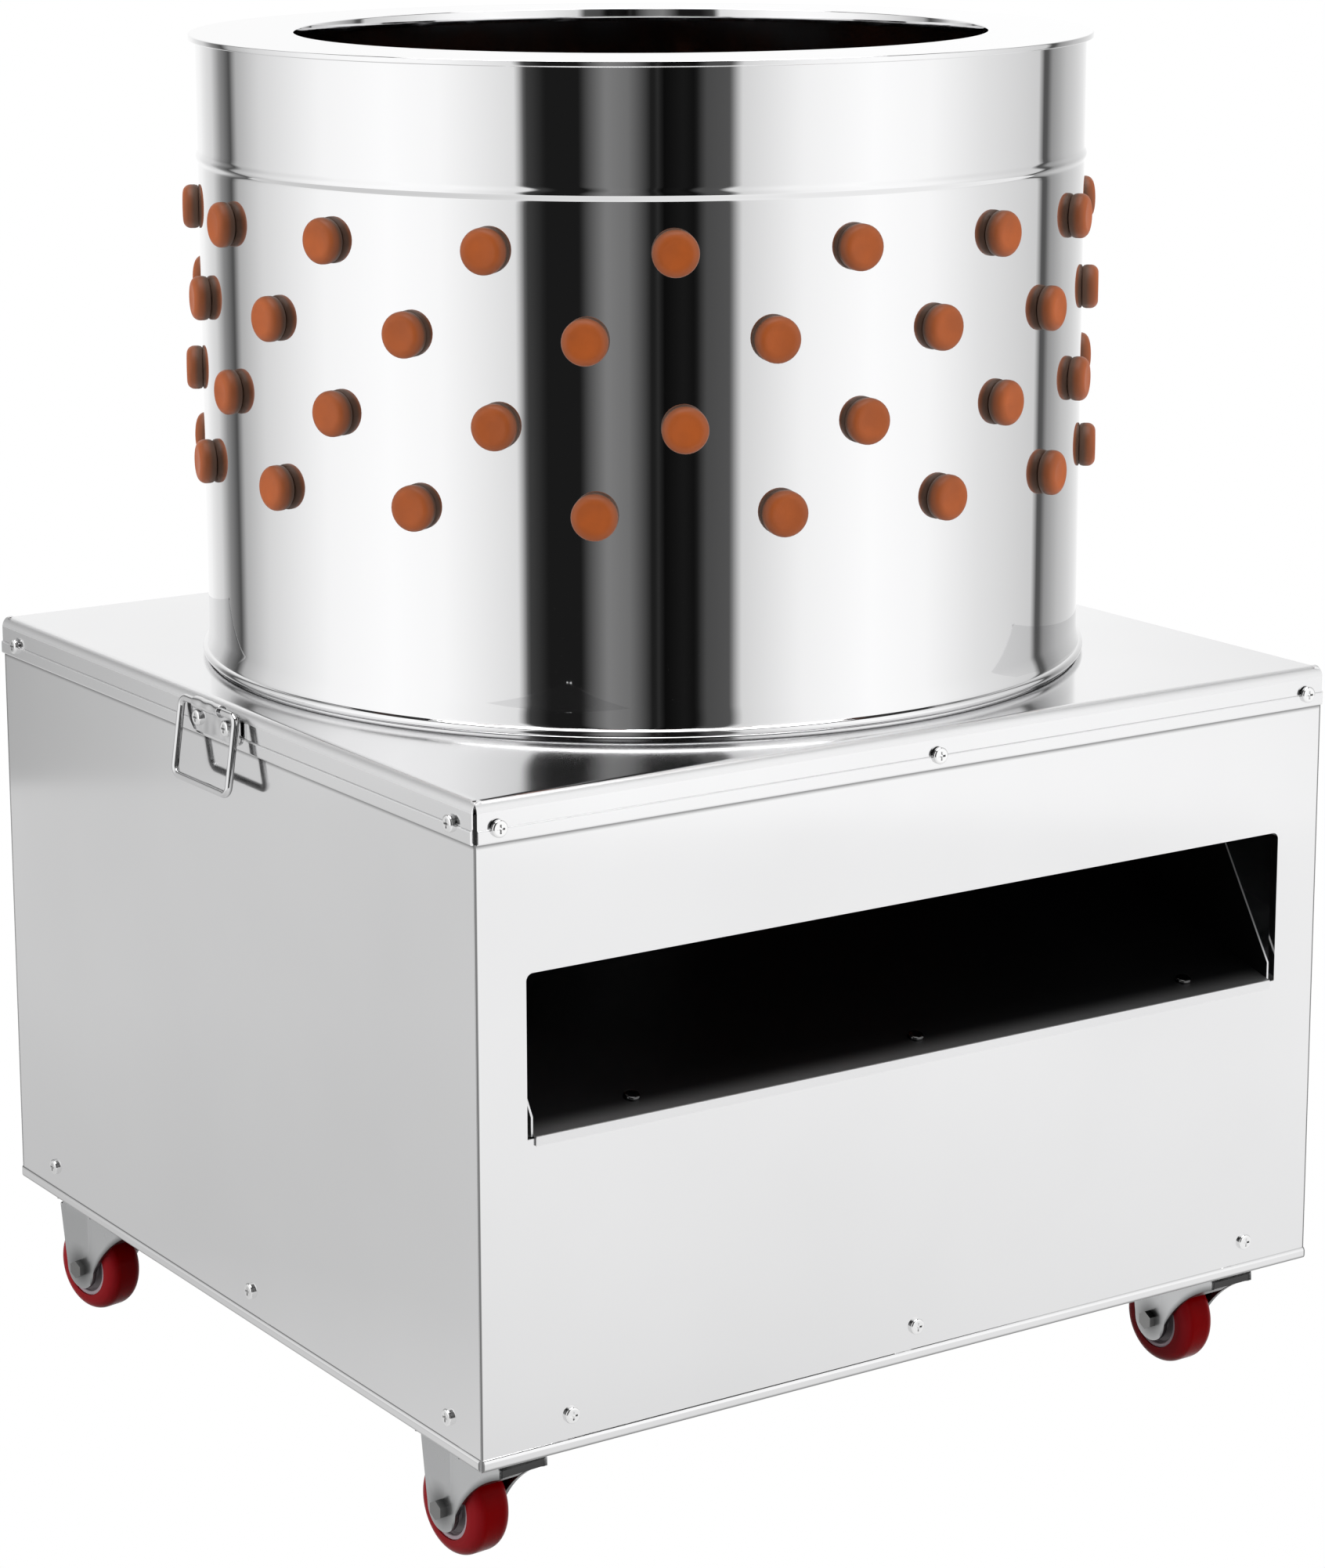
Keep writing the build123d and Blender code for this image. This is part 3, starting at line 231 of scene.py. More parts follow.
# Finish group with colour and number inputs; each material that uses it sets them all.
def newGroup(name, colors, numbers):
    tree = bpy.data.node_groups.new(name, "ShaderNodeTree")
    for labels, kind in ((colors, "NodeSocketColor"), (numbers, "NodeSocketFloat")):
        for label in labels:
            tree.interface.new_socket(label, in_out="INPUT", socket_type=kind)
    outputs = {"Color": "NodeSocketColor", "Roughness": "NodeSocketFloat", "Normal": "NodeSocketVector"}
    for label, kind in outputs.items():
        tree.interface.new_socket(label, in_out="OUTPUT", socket_type=kind)
    given = nodeIn(tree, "NodeGroupInput", location=(-900, 0))
    made = nodeIn(tree, "NodeGroupOutput", location=(700, 0))
    return tree, given, made


# Number given[base] + (noise - 0.5) * given[spread], clamped to 0..1.
def spreadAround(tree, noise, given, base, spread, y):
    centred = nodeIn(tree, "ShaderNodeMath", operation="SUBTRACT", location=(-250, y))
    centred.inputs[1].default_value = 0.5
    around = nodeIn(tree, "ShaderNodeMath", operation="MULTIPLY_ADD", use_clamp=True, location=(0, y))
    tree.links.new(noise.outputs["Fac"], centred.inputs[0])
    tree.links.new(centred.outputs[0], around.inputs[0])
    tree.links.new(given.outputs[spread], around.inputs[1])
    tree.links.new(given.outputs[base], around.inputs[2])
    return around.outputs[0]


def noiseIn(tree, where, scale, detail, y):
    noise = nodeIn(tree, "ShaderNodeTexNoise", location=(-550, y))
    noise.inputs["Detail"].default_value = detail
    feed(tree, noise.inputs["Scale"], scale)
    tree.links.new(where.outputs["Object"], noise.inputs["Vector"])
    return noise


# Bump of a finish group, as deep as given[depth]
def bumped(tree, noise, given, depth, made):
    bump = nodeIn(tree, "ShaderNodeBump", location=(300, -250))
    tree.links.new(noise.outputs["Fac"], bump.inputs["Height"])
    tree.links.new(given.outputs[depth], bump.inputs["Distance"])
    tree.links.new(bump.outputs["Normal"], made.inputs["Normal"])


# Sheet metal: slow waves in the sheet, clouded polish, and a tone that drifts a little.
def metalFinishGroup():
    tree, given, made = newGroup(
        "metalFinish", ("Color",), ("Wave height", "Wave scale", "Roughness", "Clouding", "Tone drift"))
    where = nodeIn(tree, "ShaderNodeTexCoord", location=(-800, -300))
    slow = noiseIn(tree, where, given.outputs["Wave scale"], 1.0, -250)
    fine = noiseIn(tree, where, 14.0, 5.0, 250)
    broad = noiseIn(tree, where, 6.0, 3.0, 0)
    bumped(tree, slow, given, "Wave height", made)
    centred = nodeIn(tree, "ShaderNodeMath", operation="SUBTRACT", location=(-250, 0))
    centred.inputs[1].default_value = 0.5
    factor = nodeIn(tree, "ShaderNodeMath", operation="MULTIPLY_ADD", location=(0, 0))
    tree.links.new(broad.outputs["Fac"], centred.inputs[0])
    tree.links.new(centred.outputs[0], factor.inputs[0])
    tree.links.new(given.outputs["Tone drift"], factor.inputs[1])
    factor.inputs[2].default_value = 1.0
    tone = nodeIn(tree, "ShaderNodeVectorMath", operation="SCALE", location=(300, 0))
    tree.links.new(given.outputs["Color"], tone.inputs[0])
    tree.links.new(factor.outputs[0], tone.inputs["Scale"])
    tree.links.new(tone.outputs[0], made.inputs["Color"])
    tree.links.new(spreadAround(tree, fine, given, "Roughness", "Clouding", 250), made.inputs["Roughness"])
    return tree


# Moulded or painted surface: two close colours in soft patches, a fine grain and uneven gloss.
def mouldedFinishGroup():
    tree, given, made = newGroup(
        "mouldedFinish", ("Color", "Patch color"),
        ("Patch scale", "Grain scale", "Grain height", "Roughness", "Clouding"))
    where = nodeIn(tree, "ShaderNodeTexCoord", location=(-800, -300))
    patches = noiseIn(tree, where, given.outputs["Patch scale"], 3.0, 0)
    grain = noiseIn(tree, where, given.outputs["Grain scale"], 2.0, -300)
    gloss = noiseIn(tree, where, 60.0, 4.0, 300)
    contrast = nodeIn(tree, "ShaderNodeMapRange", location=(-250, 0))
    contrast.inputs["From Min"].default_value = 0.35
    contrast.inputs["From Max"].default_value = 0.65
    mixed = nodeIn(tree, "ShaderNodeMix", data_type="RGBA", location=(100, 0))
    tree.links.new(patches.outputs["Fac"], contrast.inputs["Value"])
    tree.links.new(contrast.outputs["Result"], mixed.inputs["Factor"])
    tree.links.new(given.outputs["Color"], mixed.inputs["A"])
    tree.links.new(given.outputs["Patch color"], mixed.inputs["B"])
    bumped(tree, grain, given, "Grain height", made)
    tree.links.new(mixed.outputs["Result"], made.inputs["Color"])
    tree.links.new(spreadAround(tree, gloss, given, "Roughness", "Clouding", 300), made.inputs["Roughness"])
    return tree


metalFinish = metalFinishGroup()
mouldedFinish = mouldedFinishGroup()


def finished(name, group, colors, numbers):
    material = bpy.data.materials.new(name)
    material.use_nodes = True
    tree = material.node_tree
    shader = tree.nodes["Principled BSDF"]
    finish = nodeIn(tree, "ShaderNodeGroup", node_tree=group, location=(-400, 0))
    for label, value in colors.items():
        finish.inputs[label].default_value = (*value, 1)
    for label, value in numbers.items():
        finish.inputs[label].default_value = value
    tree.links.new(finish.outputs["Color"], shader.inputs["Base Color"])
    tree.links.new(finish.outputs["Roughness"], shader.inputs["Roughness"])
    tree.links.new(finish.outputs["Normal"], shader.inputs["Normal"])
    return material, tree, shader, finish


# Tone laid over the finish as far as mask says: painted shade and sheen on most pieces, a plain tint on the
# treads and hub webs.
def overlaid(tree, shader, finish, mask, overTone):
    over = nodeIn(tree, "ShaderNodeMix", data_type="RGBA", location=(-150, 150))
    over.inputs["B"].default_value = (*overTone, 1)
    tree.links.new(mask, over.inputs["Factor"])
    tree.links.new(finish.outputs["Color"], over.inputs["A"])
    tree.links.new(over.outputs["Result"], shader.inputs["Base Color"])


def shadeAttribute(tree):
    return nodeIn(tree, "ShaderNodeAttribute", attribute_name="shade", location=(-400, 250)).outputs["Fac"]


def bareMetal(name, color, waves, waveScale, roughness, clouding, drift):
    material, tree, shader, finish = finished(name, metalFinish, {"Color": color}, {
        "Wave height": waves, "Wave scale": waveScale, "Roughness": roughness,
        "Clouding": clouding, "Tone drift": drift})
    shader.inputs["Metallic"].default_value = 1.0
    return material, tree, shader, finish


def metal(name, color, waves, waveScale, roughness, clouding, drift=0.06, overTone=None):
    material, tree, shader, finish = bareMetal(name, color, waves, waveScale, roughness, clouding, drift)
    if overTone:
        overlaid(tree, shader, finish, shadeAttribute(tree), overTone)
    return material


def moulded(name, color, patchColor, patchScale, grain, roughness,
            clouding=0.1, metallic=0.0, shine=0.5, overTone=None):
    colors = {"Color": color, "Patch color": patchColor}
    numbers = {"Patch scale": patchScale, "Grain scale": grain[0], "Grain height": grain[1],
               "Roughness": roughness, "Clouding": clouding}
    material, tree, shader, finish = finished(name, mouldedFinish, colors, numbers)
    shader.inputs["Metallic"].default_value = metallic
    shader.inputs["Specular IOR Level"].default_value = shine
    if overTone:
        overlaid(tree, shader, finish, shadeAttribute(tree), overTone)
    return material


# X, Y and Z of a texture coordinate output, "Object" or "Normal"
def coordinates(tree, kind):
    where = nodeIn(tree, "ShaderNodeTexCoord", location=(-1500, 0))
    parts = nodeIn(tree, "ShaderNodeSeparateXYZ", location=(-1300, 0))
    tree.links.new(where.outputs[kind], parts.inputs[0])
    return parts.outputs


# Result of a math node whose inputs are sockets or plain numbers
def calculated(tree, operation, *inputs):
    node = nodeIn(tree, "ShaderNodeMath", operation=operation, location=(-1100, 0))
    for entry, value in zip(node.inputs, inputs):
        feed(tree, entry, value)
    return node.outputs[0]


# 0 where value is at or before start, most at or beyond end, smooth between
def ramp(tree, value, start, end, most=1.0):
    node = nodeIn(tree, "ShaderNodeMapRange", interpolation_type="SMOOTHSTEP", location=(-900, 0))
    node.inputs["From Min"].default_value = start
    node.inputs["From Max"].default_value = end
    node.inputs["To Max"].default_value = most
    tree.links.new(value, node.inputs["Value"])
    return node.outputs["Result"]


steelTone = (0.80, 0.80, 0.805)
shadeAndSeamTone = (0.10, 0.10, 0.10)
# Where the painted shade on the panels and the dark line down their corner seams start and are darkest, in
# metres, and how dark they get
panelShadeAndSeams = {
    "underLip": (0.4050, 0.4078, 0.8),
    "side": (0.2774, 0.2780),
    "front": (0.2714, 0.2720),
    "corner": 0.85,
    "facingDown": (0.0, 0.6, 0.8),  # shares of the normal that point down
}


# Panel sheet, with painted shade under the cover's lip and under the rolled edge, and a dark line down the
# corner seams
def panelSteel():
    material, tree, shader, finish = bareMetal("panelSteel", steelTone, 0.0004, 4.0, 0.10, 0.05, 0.09)
    at = coordinates(tree, "Object")
    underLip = ramp(tree, at["Z"], *panelShadeAndSeams["underLip"])
    atSide = ramp(tree, calculated(tree, "ABSOLUTE", at["X"]), *panelShadeAndSeams["side"])
    atFront = ramp(tree, calculated(tree, "ABSOLUTE", at["Y"]), *panelShadeAndSeams["front"])
    corner = calculated(tree, "MULTIPLY", calculated(tree, "MULTIPLY", atSide, atFront), panelShadeAndSeams["corner"])
    down = calculated(tree, "MULTIPLY", coordinates(tree, "Normal")["Z"], -1)
    under = calculated(tree, "MAXIMUM", underLip, ramp(tree, down, *panelShadeAndSeams["facingDown"]))
    overlaid(tree, shader, finish, calculated(tree, "MAXIMUM", under, corner), shadeAndSeamTone)
    return material


# The cover's normals that count as bend, as a share of up and a reach, and how rough sheet and bend are
coverBend = {"up": 0.5, "reach": 0.42, "sheetRoughness": 0.13, "added": 0.25}


# Cover sheet, a duller mirror along its bends
def coverSteel():
    material, tree, shader, finish = bareMetal("coverSteel", steelTone, 0.0004, 4.0, 0.0, 0.05, 0.09)
    up = coordinates(tree, "Normal")["Z"]
    bend = calculated(tree, "COMPARE", up, coverBend["up"], coverBend["reach"])
    rough = calculated(tree, "MULTIPLY_ADD", bend, coverBend["added"], coverBend["sheetRoughness"])
    tree.links.new(rough, finish.inputs["Roughness"])
    return material


chuteScrewReach = 0.268  # the chute's screws lie nearer to both middle planes than this, in metres


# Pan head screws: bright, but with painted shade where they hold the chute inside the opening
def screwSteel():
    tone = (0.86, 0.86, 0.86)
    material, tree, shader, finish = bareMetal("screwSteel", tone, 0.0002, 60.0, 0.16, 0.08, 0.06)
    at = coordinates(tree, "Object")
    aside = calculated(tree, "ABSOLUTE", at["X"])
    out = calculated(tree, "MAXIMUM", aside, calculated(tree, "ABSOLUTE", at["Y"]))
    overlaid(tree, shader, finish, calculated(tree, "LESS_THAN", out, chuteScrewReach), shadeAndSeamTone)
    return material


chute = {
    "dark": (0.035, 0.035, 0.037),
    "darkRoughness": 0.42,
    "brightRoughness": 0.5,
    "fading": (0.257, 0.273, 0.35),  # metres forward between which the floor gets paler, and how pale
    "edge": (0.2728, 0.2736),  # metres forward of the bright front edge
}


# Steel in the shade of the cabinet: dark inside, bright where mask is 1
def chuteSteel(name, maskOf):
    material, tree, shader, finish = bareMetal(name, (1, 1, 1), 0.0003, 5.0, 0.0, 0.04, 0.1)
    mask = maskOf(tree)
    shade = nodeIn(tree, "ShaderNodeMix", data_type="RGBA", location=(-600, 250))
    shade.inputs["A"].default_value = (*chute["dark"], 1)
    shade.inputs["B"].default_value = (*steelTone, 1)
    tree.links.new(mask, shade.inputs["Factor"])
    tree.links.new(shade.outputs["Result"], finish.inputs["Color"])
    dull = nodeIn(tree, "ShaderNodeMapRange", location=(-600, -250))
    dull.inputs["To Min"].default_value = chute["darkRoughness"]
    dull.inputs["To Max"].default_value = chute["brightRoughness"]
    tree.links.new(mask, dull.inputs["Value"])
    tree.links.new(dull.outputs["Result"], finish.inputs["Roughness"])
    return material


# 1 at the chute's front edge, falling to 0 a little way inside
def frontMask(tree):
    forward = calculated(tree, "MULTIPLY", coordinates(tree, "Object")["Y"], -1)
    fading = ramp(tree, forward, *chute["fading"])
    return calculated(tree, "MAXIMUM", fading, ramp(tree, forward, *chute["edge"]))


# 1 on the narrow edges of the cheeks, 0 on their sides
def cheekEdgeMask(tree):
    return calculated(tree, "LESS_THAN", calculated(tree, "ABSOLUTE", coordinates(tree, "Normal")["X"]), 0.5)


materials = {
    "drumSteel": metal("drumSteel", (0.81, 0.81, 0.815), 0.00022, 2.6, 0.03, 0.02, 0.02),
    # Inside of the drum: the same steel painted dark, as painted shade where little light reaches
    "drumShadedInside": metal("drumShadedInside", (0.20, 0.20, 0.205), 0.0020, 14.0, 0.10, 0.05),
    "sheetSteel": metal("sheetSteel", steelTone, 0.0004, 4.0, 0.13, 0.05, 0.09),
    "panelSteel": panelSteel(),
    "coverSteel": coverSteel(),
    # Its overlay tone is painted shade on the handle wire's side that faces the cabinet
    "handleSteel": metal("handleSteel", (0.68, 0.68, 0.685), 0.0002, 40.0, 0.05, 0.04,
                         overTone=(0.12, 0.12, 0.12)),
    "plateSteel": metal("plateSteel", (0.66, 0.66, 0.665), 0.0012, 60.0, 0.12, 0.10, 0.3),
    "chuteSteel": chuteSteel("chuteSteel", frontMask),
    "cheekSteel": chuteSteel("cheekSteel", cheekEdgeMask),
    # Its overlay tone is painted shade on the casters' forks
    "zinc": metal("zinc", (0.56, 0.565, 0.57), 0.0003, 40.0, 0.28, 0.15, 0.3, overTone=(0.05, 0.05, 0.05)),
    "boltZinc": metal("boltZinc", (0.22, 0.22, 0.218), 0.0003, 60.0, 0.22, 0.15, 0.3),
    "screwSteel": screwSteel(),
    "castAluminium": metal("castAluminium", (0.60, 0.60, 0.61), 0.0008, 90.0, 0.45, 0.15, 0.2),
    "castIron": moulded("castIron", (0.07, 0.07, 0.075), (0.045, 0.045, 0.05), 30, (260, 0.0004), 0.5,
                        metallic=0.6),
    "framePaint": moulded("framePaint", (0.115, 0.12, 0.125), (0.09, 0.095, 0.10), 12, (320, 0.0001), 0.42),
    "motorPaint": moulded("motorPaint", (0.035, 0.065, 0.11), (0.028, 0.052, 0.09), 14, (300, 0.0001), 0.4),
    # Its overlay tone is painted shade on the heads' sides and a painted sheen round their faces
    "fingerRubber": moulded("fingerRubber", (0.57, 0.125, 0.020), (0.46, 0.104, 0.020), 45, (900, 0.00004),
                            0.45, clouding=0.2, shine=0.28, overTone=(0.125, 0.066, 0.042)),
    "treadRubber": moulded("treadRubber", (0.27, 0.000, 0.001), (0.21, 0.000, 0.001), 35, (500, 0.00003),
                           0.2, clouding=0.08, shine=0.03, overTone=(0.36, 0.018, 0.024)),
    "hubPlastic": moulded("hubPlastic", (0.56, 0.44, 0.49), (0.46, 0.38, 0.42), 60, (500, 0.0001), 0.45,
                          overTone=(0.20, 0.18, 0.19)),
    "blackRubber": moulded("blackRubber", (0.014, 0.014, 0.014), (0.02, 0.02, 0.02), 40, (700, 0.0001), 0.6),
    "blackPlastic": moulded("blackPlastic", (0.018, 0.018, 0.018), (0.024, 0.024, 0.024), 40,
                            (900, 0.00008), 0.4),
    "greenPlastic": moulded("greenPlastic", (0.01, 0.22, 0.05), (0.01, 0.19, 0.045), 30, (600, 0.00003),
                            0.22),
    "redPlastic": moulded("redPlastic", (0.45, 0.008, 0.01), (0.39, 0.007, 0.01), 30, (600, 0.00003), 0.22),
}
print("materials made")


def dress(piece, *keys):
    piece.data.materials.clear()
    for key in keys:
        piece.data.materials.append(materials[key])


finishes = {
    "frame_steel": "framePaint", "polished_steel": "sheetSteel", "zinc_steel": "zinc",
    "screw_steel": "screwSteel", "finger_rubber": "fingerRubber", "tread": "treadRubber",
    "wheel_core": "hubPlastic", "cast_aluminium": "castAluminium", "cast_iron": "castIron",
    "shaft_steel": "zinc", "motor_paint": "motorPaint", "black_rubber": "blackRubber",
    "black_plastic": "blackPlastic", "green_plastic": "greenPlastic", "red_plastic": "redPlastic",
}
special = {
    "chute_floor": "chuteSteel", "chute_cheeks": "cheekSteel", "frame_bolts": "boltZinc",
    "front_panel": "panelSteel", "rear_panel": "panelSteel", "left_panel": "panelSteel",
    "right_panel": "panelSteel", "top_cover": "coverSteel",
}
slots = {part["node"]: part["material_slot"] for part in frame["record"]["subparts"]}
for name, piece in nodes.items():
    if name.startswith("caster_axle"):
        dress(piece, "boltZinc")
    else:
        dress(piece, special.get(name, finishes[slots[name]]))


# Piece that stands for CAD nodes: it hides them and rides on their body.
def standsFor(piece, body, *names):
    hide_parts(*names)
    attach(piece, body)


# Drum, in millimetres

drum = {
    "bore": 248.5,
    "radius": 250.0,
    "foot": 430.0,
    "top": 780.5,
    "outerRings": (460, 2, 750),  # lowest ring over the flare, gap beside the bead, ring over it
    "innerRings": (720, 650, 580, 510, 460),
    "inside": 249.2,  # faces whose middle is nearer to the axis show the inside
    "bead": {"level": 714.4, "reach": 4.2, "proud": 1.2},
    "footBead": {"middle": (251.3, 433.4), "radius": 2.6, "start": -118, "end": 84},
    "flare": {"low": 436.0, "high": 447.0, "out": 1.35},
    "segments": 360,
}


# The bead bulges by proud * cos squared; the flare by out * (1 - share of its height) squared.
def drumShell():
    bead = drum["bead"]
    flare = drum["flare"]
    foot = drum["footBead"]
    lowest, gap, overBead = drum["outerRings"]
    outline = [(drum["bore"], drum["foot"]), (drum["radius"], drum["foot"])]
    outline += arc(foot["middle"], foot["radius"], foot["start"], foot["end"], 14)
    for share in np.linspace(0.05, 1, 9):
        outline.append((drum["radius"] + flare["out"] * (1 - share) ** 2,
                        flare["low"] + share * (flare["high"] - flare["low"])))
    outline += [(drum["radius"], z) for z in np.linspace(lowest, bead["level"] - bead["reach"] - gap, 6)]
    for step in np.linspace(-1, 1, 17):
        outline.append((drum["radius"] + bead["proud"] * math.cos(step * math.pi / 2) ** 2,
                        bead["level"] + step * bead["reach"]))
    outline += [(drum["radius"], z) for z in (bead["level"] + bead["reach"] + gap, overBead, drum["top"])]
    outline += [(drum["bore"], z) for z in (drum["top"], *drum["innerRings"])]
    points, faces = turnedSolid(outline, drum["segments"])
    piece = newPiece("drumShell", points, faces)
    dress(piece, "drumSteel", "drumShadedInside")
    inside = drum["inside"] * 0.001
    # The inside faces take the dark steel: painted shade
    paintFaces(piece, facesWhere(piece, lambda at: np.hypot(at[:, 0], at[:, 1]) < inside), 1)
    standsFor(piece, "housing", "drum_shell")


rim = {
    "outer": 254.0,
    "mouth": 195.0,
    "top": 782.0,
    "under": 780.5,
    "foldLow": 778.8,
    "foldInner": 250.1,
    "collarLow": 774.5,
    "collarOuter": 196.5,
    "round": 0.6,
    "flatInset": 1.2,
    "middleRing": 250,
    "segments": 360,
}


def drumRim():
    r = rim["round"]
    outline = [(rim["foldInner"], rim["foldLow"]), (rim["outer"] - r, rim["foldLow"])]
    outline += arc((rim["outer"] - r, rim["foldLow"] + r), r, -80, 0, 4)
    outline += arc((rim["outer"] - r, rim["top"] - r), r, 0, 90, 5)
    flatRings = (rim["outer"] - rim["flatInset"], rim["middleRing"], rim["mouth"] + rim["flatInset"])
    outline += [(radius, rim["top"]) for radius in flatRings]
    outline += arc((rim["mouth"] + r, rim["top"] - r), r, 90, 180, 5)
    outline += [(rim["mouth"], rim["collarLow"]), (rim["collarOuter"], rim["collarLow"])]
    outline += [(rim["collarOuter"], rim["under"]), (rim["foldInner"], rim["under"])]
    points, faces = turnedSolid(outline, rim["segments"])
    piece = newPiece("drumRim", points, faces)
    dress(piece, "drumSteel")
    standsFor(piece, "housing", "drum_rim")


finger = {
    "head": 12.3,
    "headHeight": 9.0,
    "headRound": 4.4,
    "dish": 0.25,
    "sideShadeFade": (2.5, 8.2),  # heights on the head between which the painted shade thins out
    "faceEdgeSheen": 0.6,
    "belowSheetDarkening": 0.35,
    "neck": 9.8,
    "collar": 13.0,
    "collarHeight": 6.0,
    "root": 9.6,
    "tip": 6.6,
    "reach": 86.0,
    "ribs": 6,
    "ribDepth": 1.1,
    "segments": 36,
}
fingersPerRow = 16
fingerSeat = 0.35  # the sheet's inner face to the collar
# Degrees of each row's first finger from straight ahead, and its height
fingerRows = {
    "drum_fingers_row_1": (6.1, 548.5),
    "drum_fingers_row_2": (-5.8, 593.9),
    "drum_fingers_row_3": (5.1, 639.3),
    "drum_fingers_row_4": (-6.9, 684.7),
}
# Rings as (count, share of the radius)
rotor = {"radius": 232, "under": 438, "wall": 4.0, "rings": ((6, 0.41), (12, 0.645), (18, 0.86))}


# Finger on its Z axis, head up, with the sheet's outer face at height 0; the outline runs from the tip up.
def fingerSolid(wall, seat):
    f = finger
    collarOver = -wall - seat
    collarUnder = collarOver - f["collarHeight"]
    tip = -wall - f["reach"]
    ribPitch = (collarUnder - tip - 3.5) / f["ribs"]
    outline = [(0, tip), (f["tip"] - 2.6, tip), (f["tip"] - 1.2, tip + 0.5), (f["tip"] - 0.3, tip + 1.6)]
    for rib in range(f["ribs"] - 1, -1, -1):
        radius = f["root"] + (f["tip"] - f["root"]) * rib / f["ribs"]
        high = collarUnder - rib * ribPitch
        outline += [(radius - 0.2, high - ribPitch), (radius, high - ribPitch * 0.85)]
        outline += [(radius, high - ribPitch * 0.55), (radius - f["ribDepth"], high - ribPitch * 0.33)]
        outline += [(radius - f["ribDepth"], high - ribPitch * 0.1)]
    outline += [(f["collar"] - 0.5, collarUnder), (f["collar"], collarUnder + 0.6)]
    outline += [(f["collar"], collarOver - 0.4)]
    outline += [(f["collar"] - 0.4, collarOver), (f["neck"], collarOver), (f["neck"], 0)]
    outline += [(f["head"] - 1.2, 0), (f["head"] - 0.35, 0.9), (f["head"], 2.4), (f["head"], 3.6)]
    r = f["headRound"]
    outline += arc((f["head"] - r, f["headHeight"] - r), r, 0, 86, 10)
    outline += [(f["head"] - r - 1, f["headHeight"] - 0.05), (f["head"] * 0.4, f["headHeight"] - f["dish"])]
    outline += [(0, f["headHeight"] - f["dish"])]
    return cappedSolid(outline, f["segments"])


# Painted shade on the side of every head, thinning out towards its face, a painted greyish sheen round the
# face's edge, and a little darkening below the sheet
def shadedHeads(piece, solid, copies):
    points = np.asarray(solid[0])
    low, high = finger["sideShadeFade"]
    side = np.clip((high - points[:, 2]) / (high - low), 0, 1)
    around = finger["faceEdgeSheen"] * (np.hypot(points[:, 0], points[:, 1]) / finger["head"]) ** 5
    shade = np.where(points[:, 2] < 0, finger["belowSheetDarkening"], np.maximum(side, around))
    pointValues(piece, "shade", np.tile(shade, copies))


def drumFingers():
    solid = fingerSolid(drum["radius"] - drum["bore"], fingerSeat)
    for name, (first, z) in fingerRows.items():
        places = []
        for index in range(fingersPerRow):
            a = math.radians(first + 360 * index / fingersPerRow)
            out = (math.sin(a), -math.cos(a), 0)
            places.append(facing((out[0] * drum["radius"], out[1] * drum["radius"], z), out))
        piece = newPiece(name.replace("drum_fingers_row", "drumFingers"), *repeated(solid, places))
        shadedHeads(piece, solid, len(places))
        dress(piece, "fingerRubber")
        standsFor(piece, "housing", name)


def rotorFingers():
    places = []
    for count, share in rotor["rings"]:
        out = share * rotor["radius"]
        for index in range(count):
            a = 2 * math.pi * (index + share) / count
            places.append(facing((out * math.cos(a), out * math.sin(a), rotor["under"]), (0, 0, -1)))
    piece = newPiece("rotorFingers", *repeated(fingerSolid(rotor["wall"], 0.0), places))
    dress(piece, "fingerRubber")
    standsFor(piece, "rotor", "rotor_fingers")


drumShell()
drumRim()
drumFingers()
rotorFingers()
print("drum made")

# Carrying handles, in millimetres

bail = {
    "axis": (284.45, -3.2, 427.7),
    "half": 31.4,
    "drop": 43.0,
    "corner": 5.0,
    "wire": 2.1,
    "lean": math.radians(8.0),
    "shade": (0.2, 1.4),  # shade of wire that faces sideways, and its gain towards the cabinet
}
bracket = {
    "faces": (280.8, 282.3),
    "half": 30.0,
    "low": 410.5,
    "cut": (7.5, 6.5),
    "round": 4.5,
    "barrel": 3.55,
    "barrelHalf": 15.0,
    "barrelWaves": 0.07,
    "wavePitch": 13.0,
    "edge": 0.35,
}


# Rounded rectangle of (y, z) points, from the top's near end down and round.
def bailLoop():
    r = bail["corner"]
    y = bail["half"] - r
    low = r - bail["drop"]
    return (arc((y, -r), r, 90, 0, 10) + arc((y, low), r, 0, -90, 10)
            + arc((-y, low), r, -90, -180, 10) + arc((-y, -r), r, 180, 90, 10))


# Wire loop, with painted shade on the half of the wire that faces the cabinet.
def handleBail(name, node, body, side):
    lean = bail["lean"]
    x0, y0, z0 = bail["axis"]
    path = [(side * (x0 - z * math.sin(lean)), y0 + y, z0 + z * math.cos(lean)) for y, z in bailLoop()]
    across = (math.cos(lean), 0.0, side * math.sin(lean))
    piece = newPiece(name, *roundWire(path, bail["wire"], across, 20), sharpAngle=80)
    out = np.empty(len(piece.data.vertices) * 3)
    piece.data.vertex_normals.foreach_get("vector", out)
    even, gain = bail["shade"]
    pointValues(piece, "shade", np.clip(even - side * gain * out.reshape(-1, 3)[:, 0], 0, 1))
    dress(piece, "handleSteel")
    standsFor(piece, body, node)


# Barrel along Y whose radius is barrel * (1 - waves * (1 + sin(2 pi y / pitch)) / 2), closed at both ends.
def rolledBarrel(side):
    y = np.linspace(-bracket["barrelHalf"], bracket["barrelHalf"], 25)
    swell = (1 + np.sin(2 * np.pi * y / bracket["wavePitch"])) / 2
    radius = bracket["barrel"] * (1 - bracket["barrelWaves"] * swell)
    outline = [(0, y[0])] + list(zip(radius.tolist(), y.tolist())) + [(0, y[-1])]
    points, faces = cappedSolid(outline, 28)
    x0, y0, z0 = bail["axis"]
    return moved(points, facing((side * x0, y0, z0), (0, 1, 0))), faces


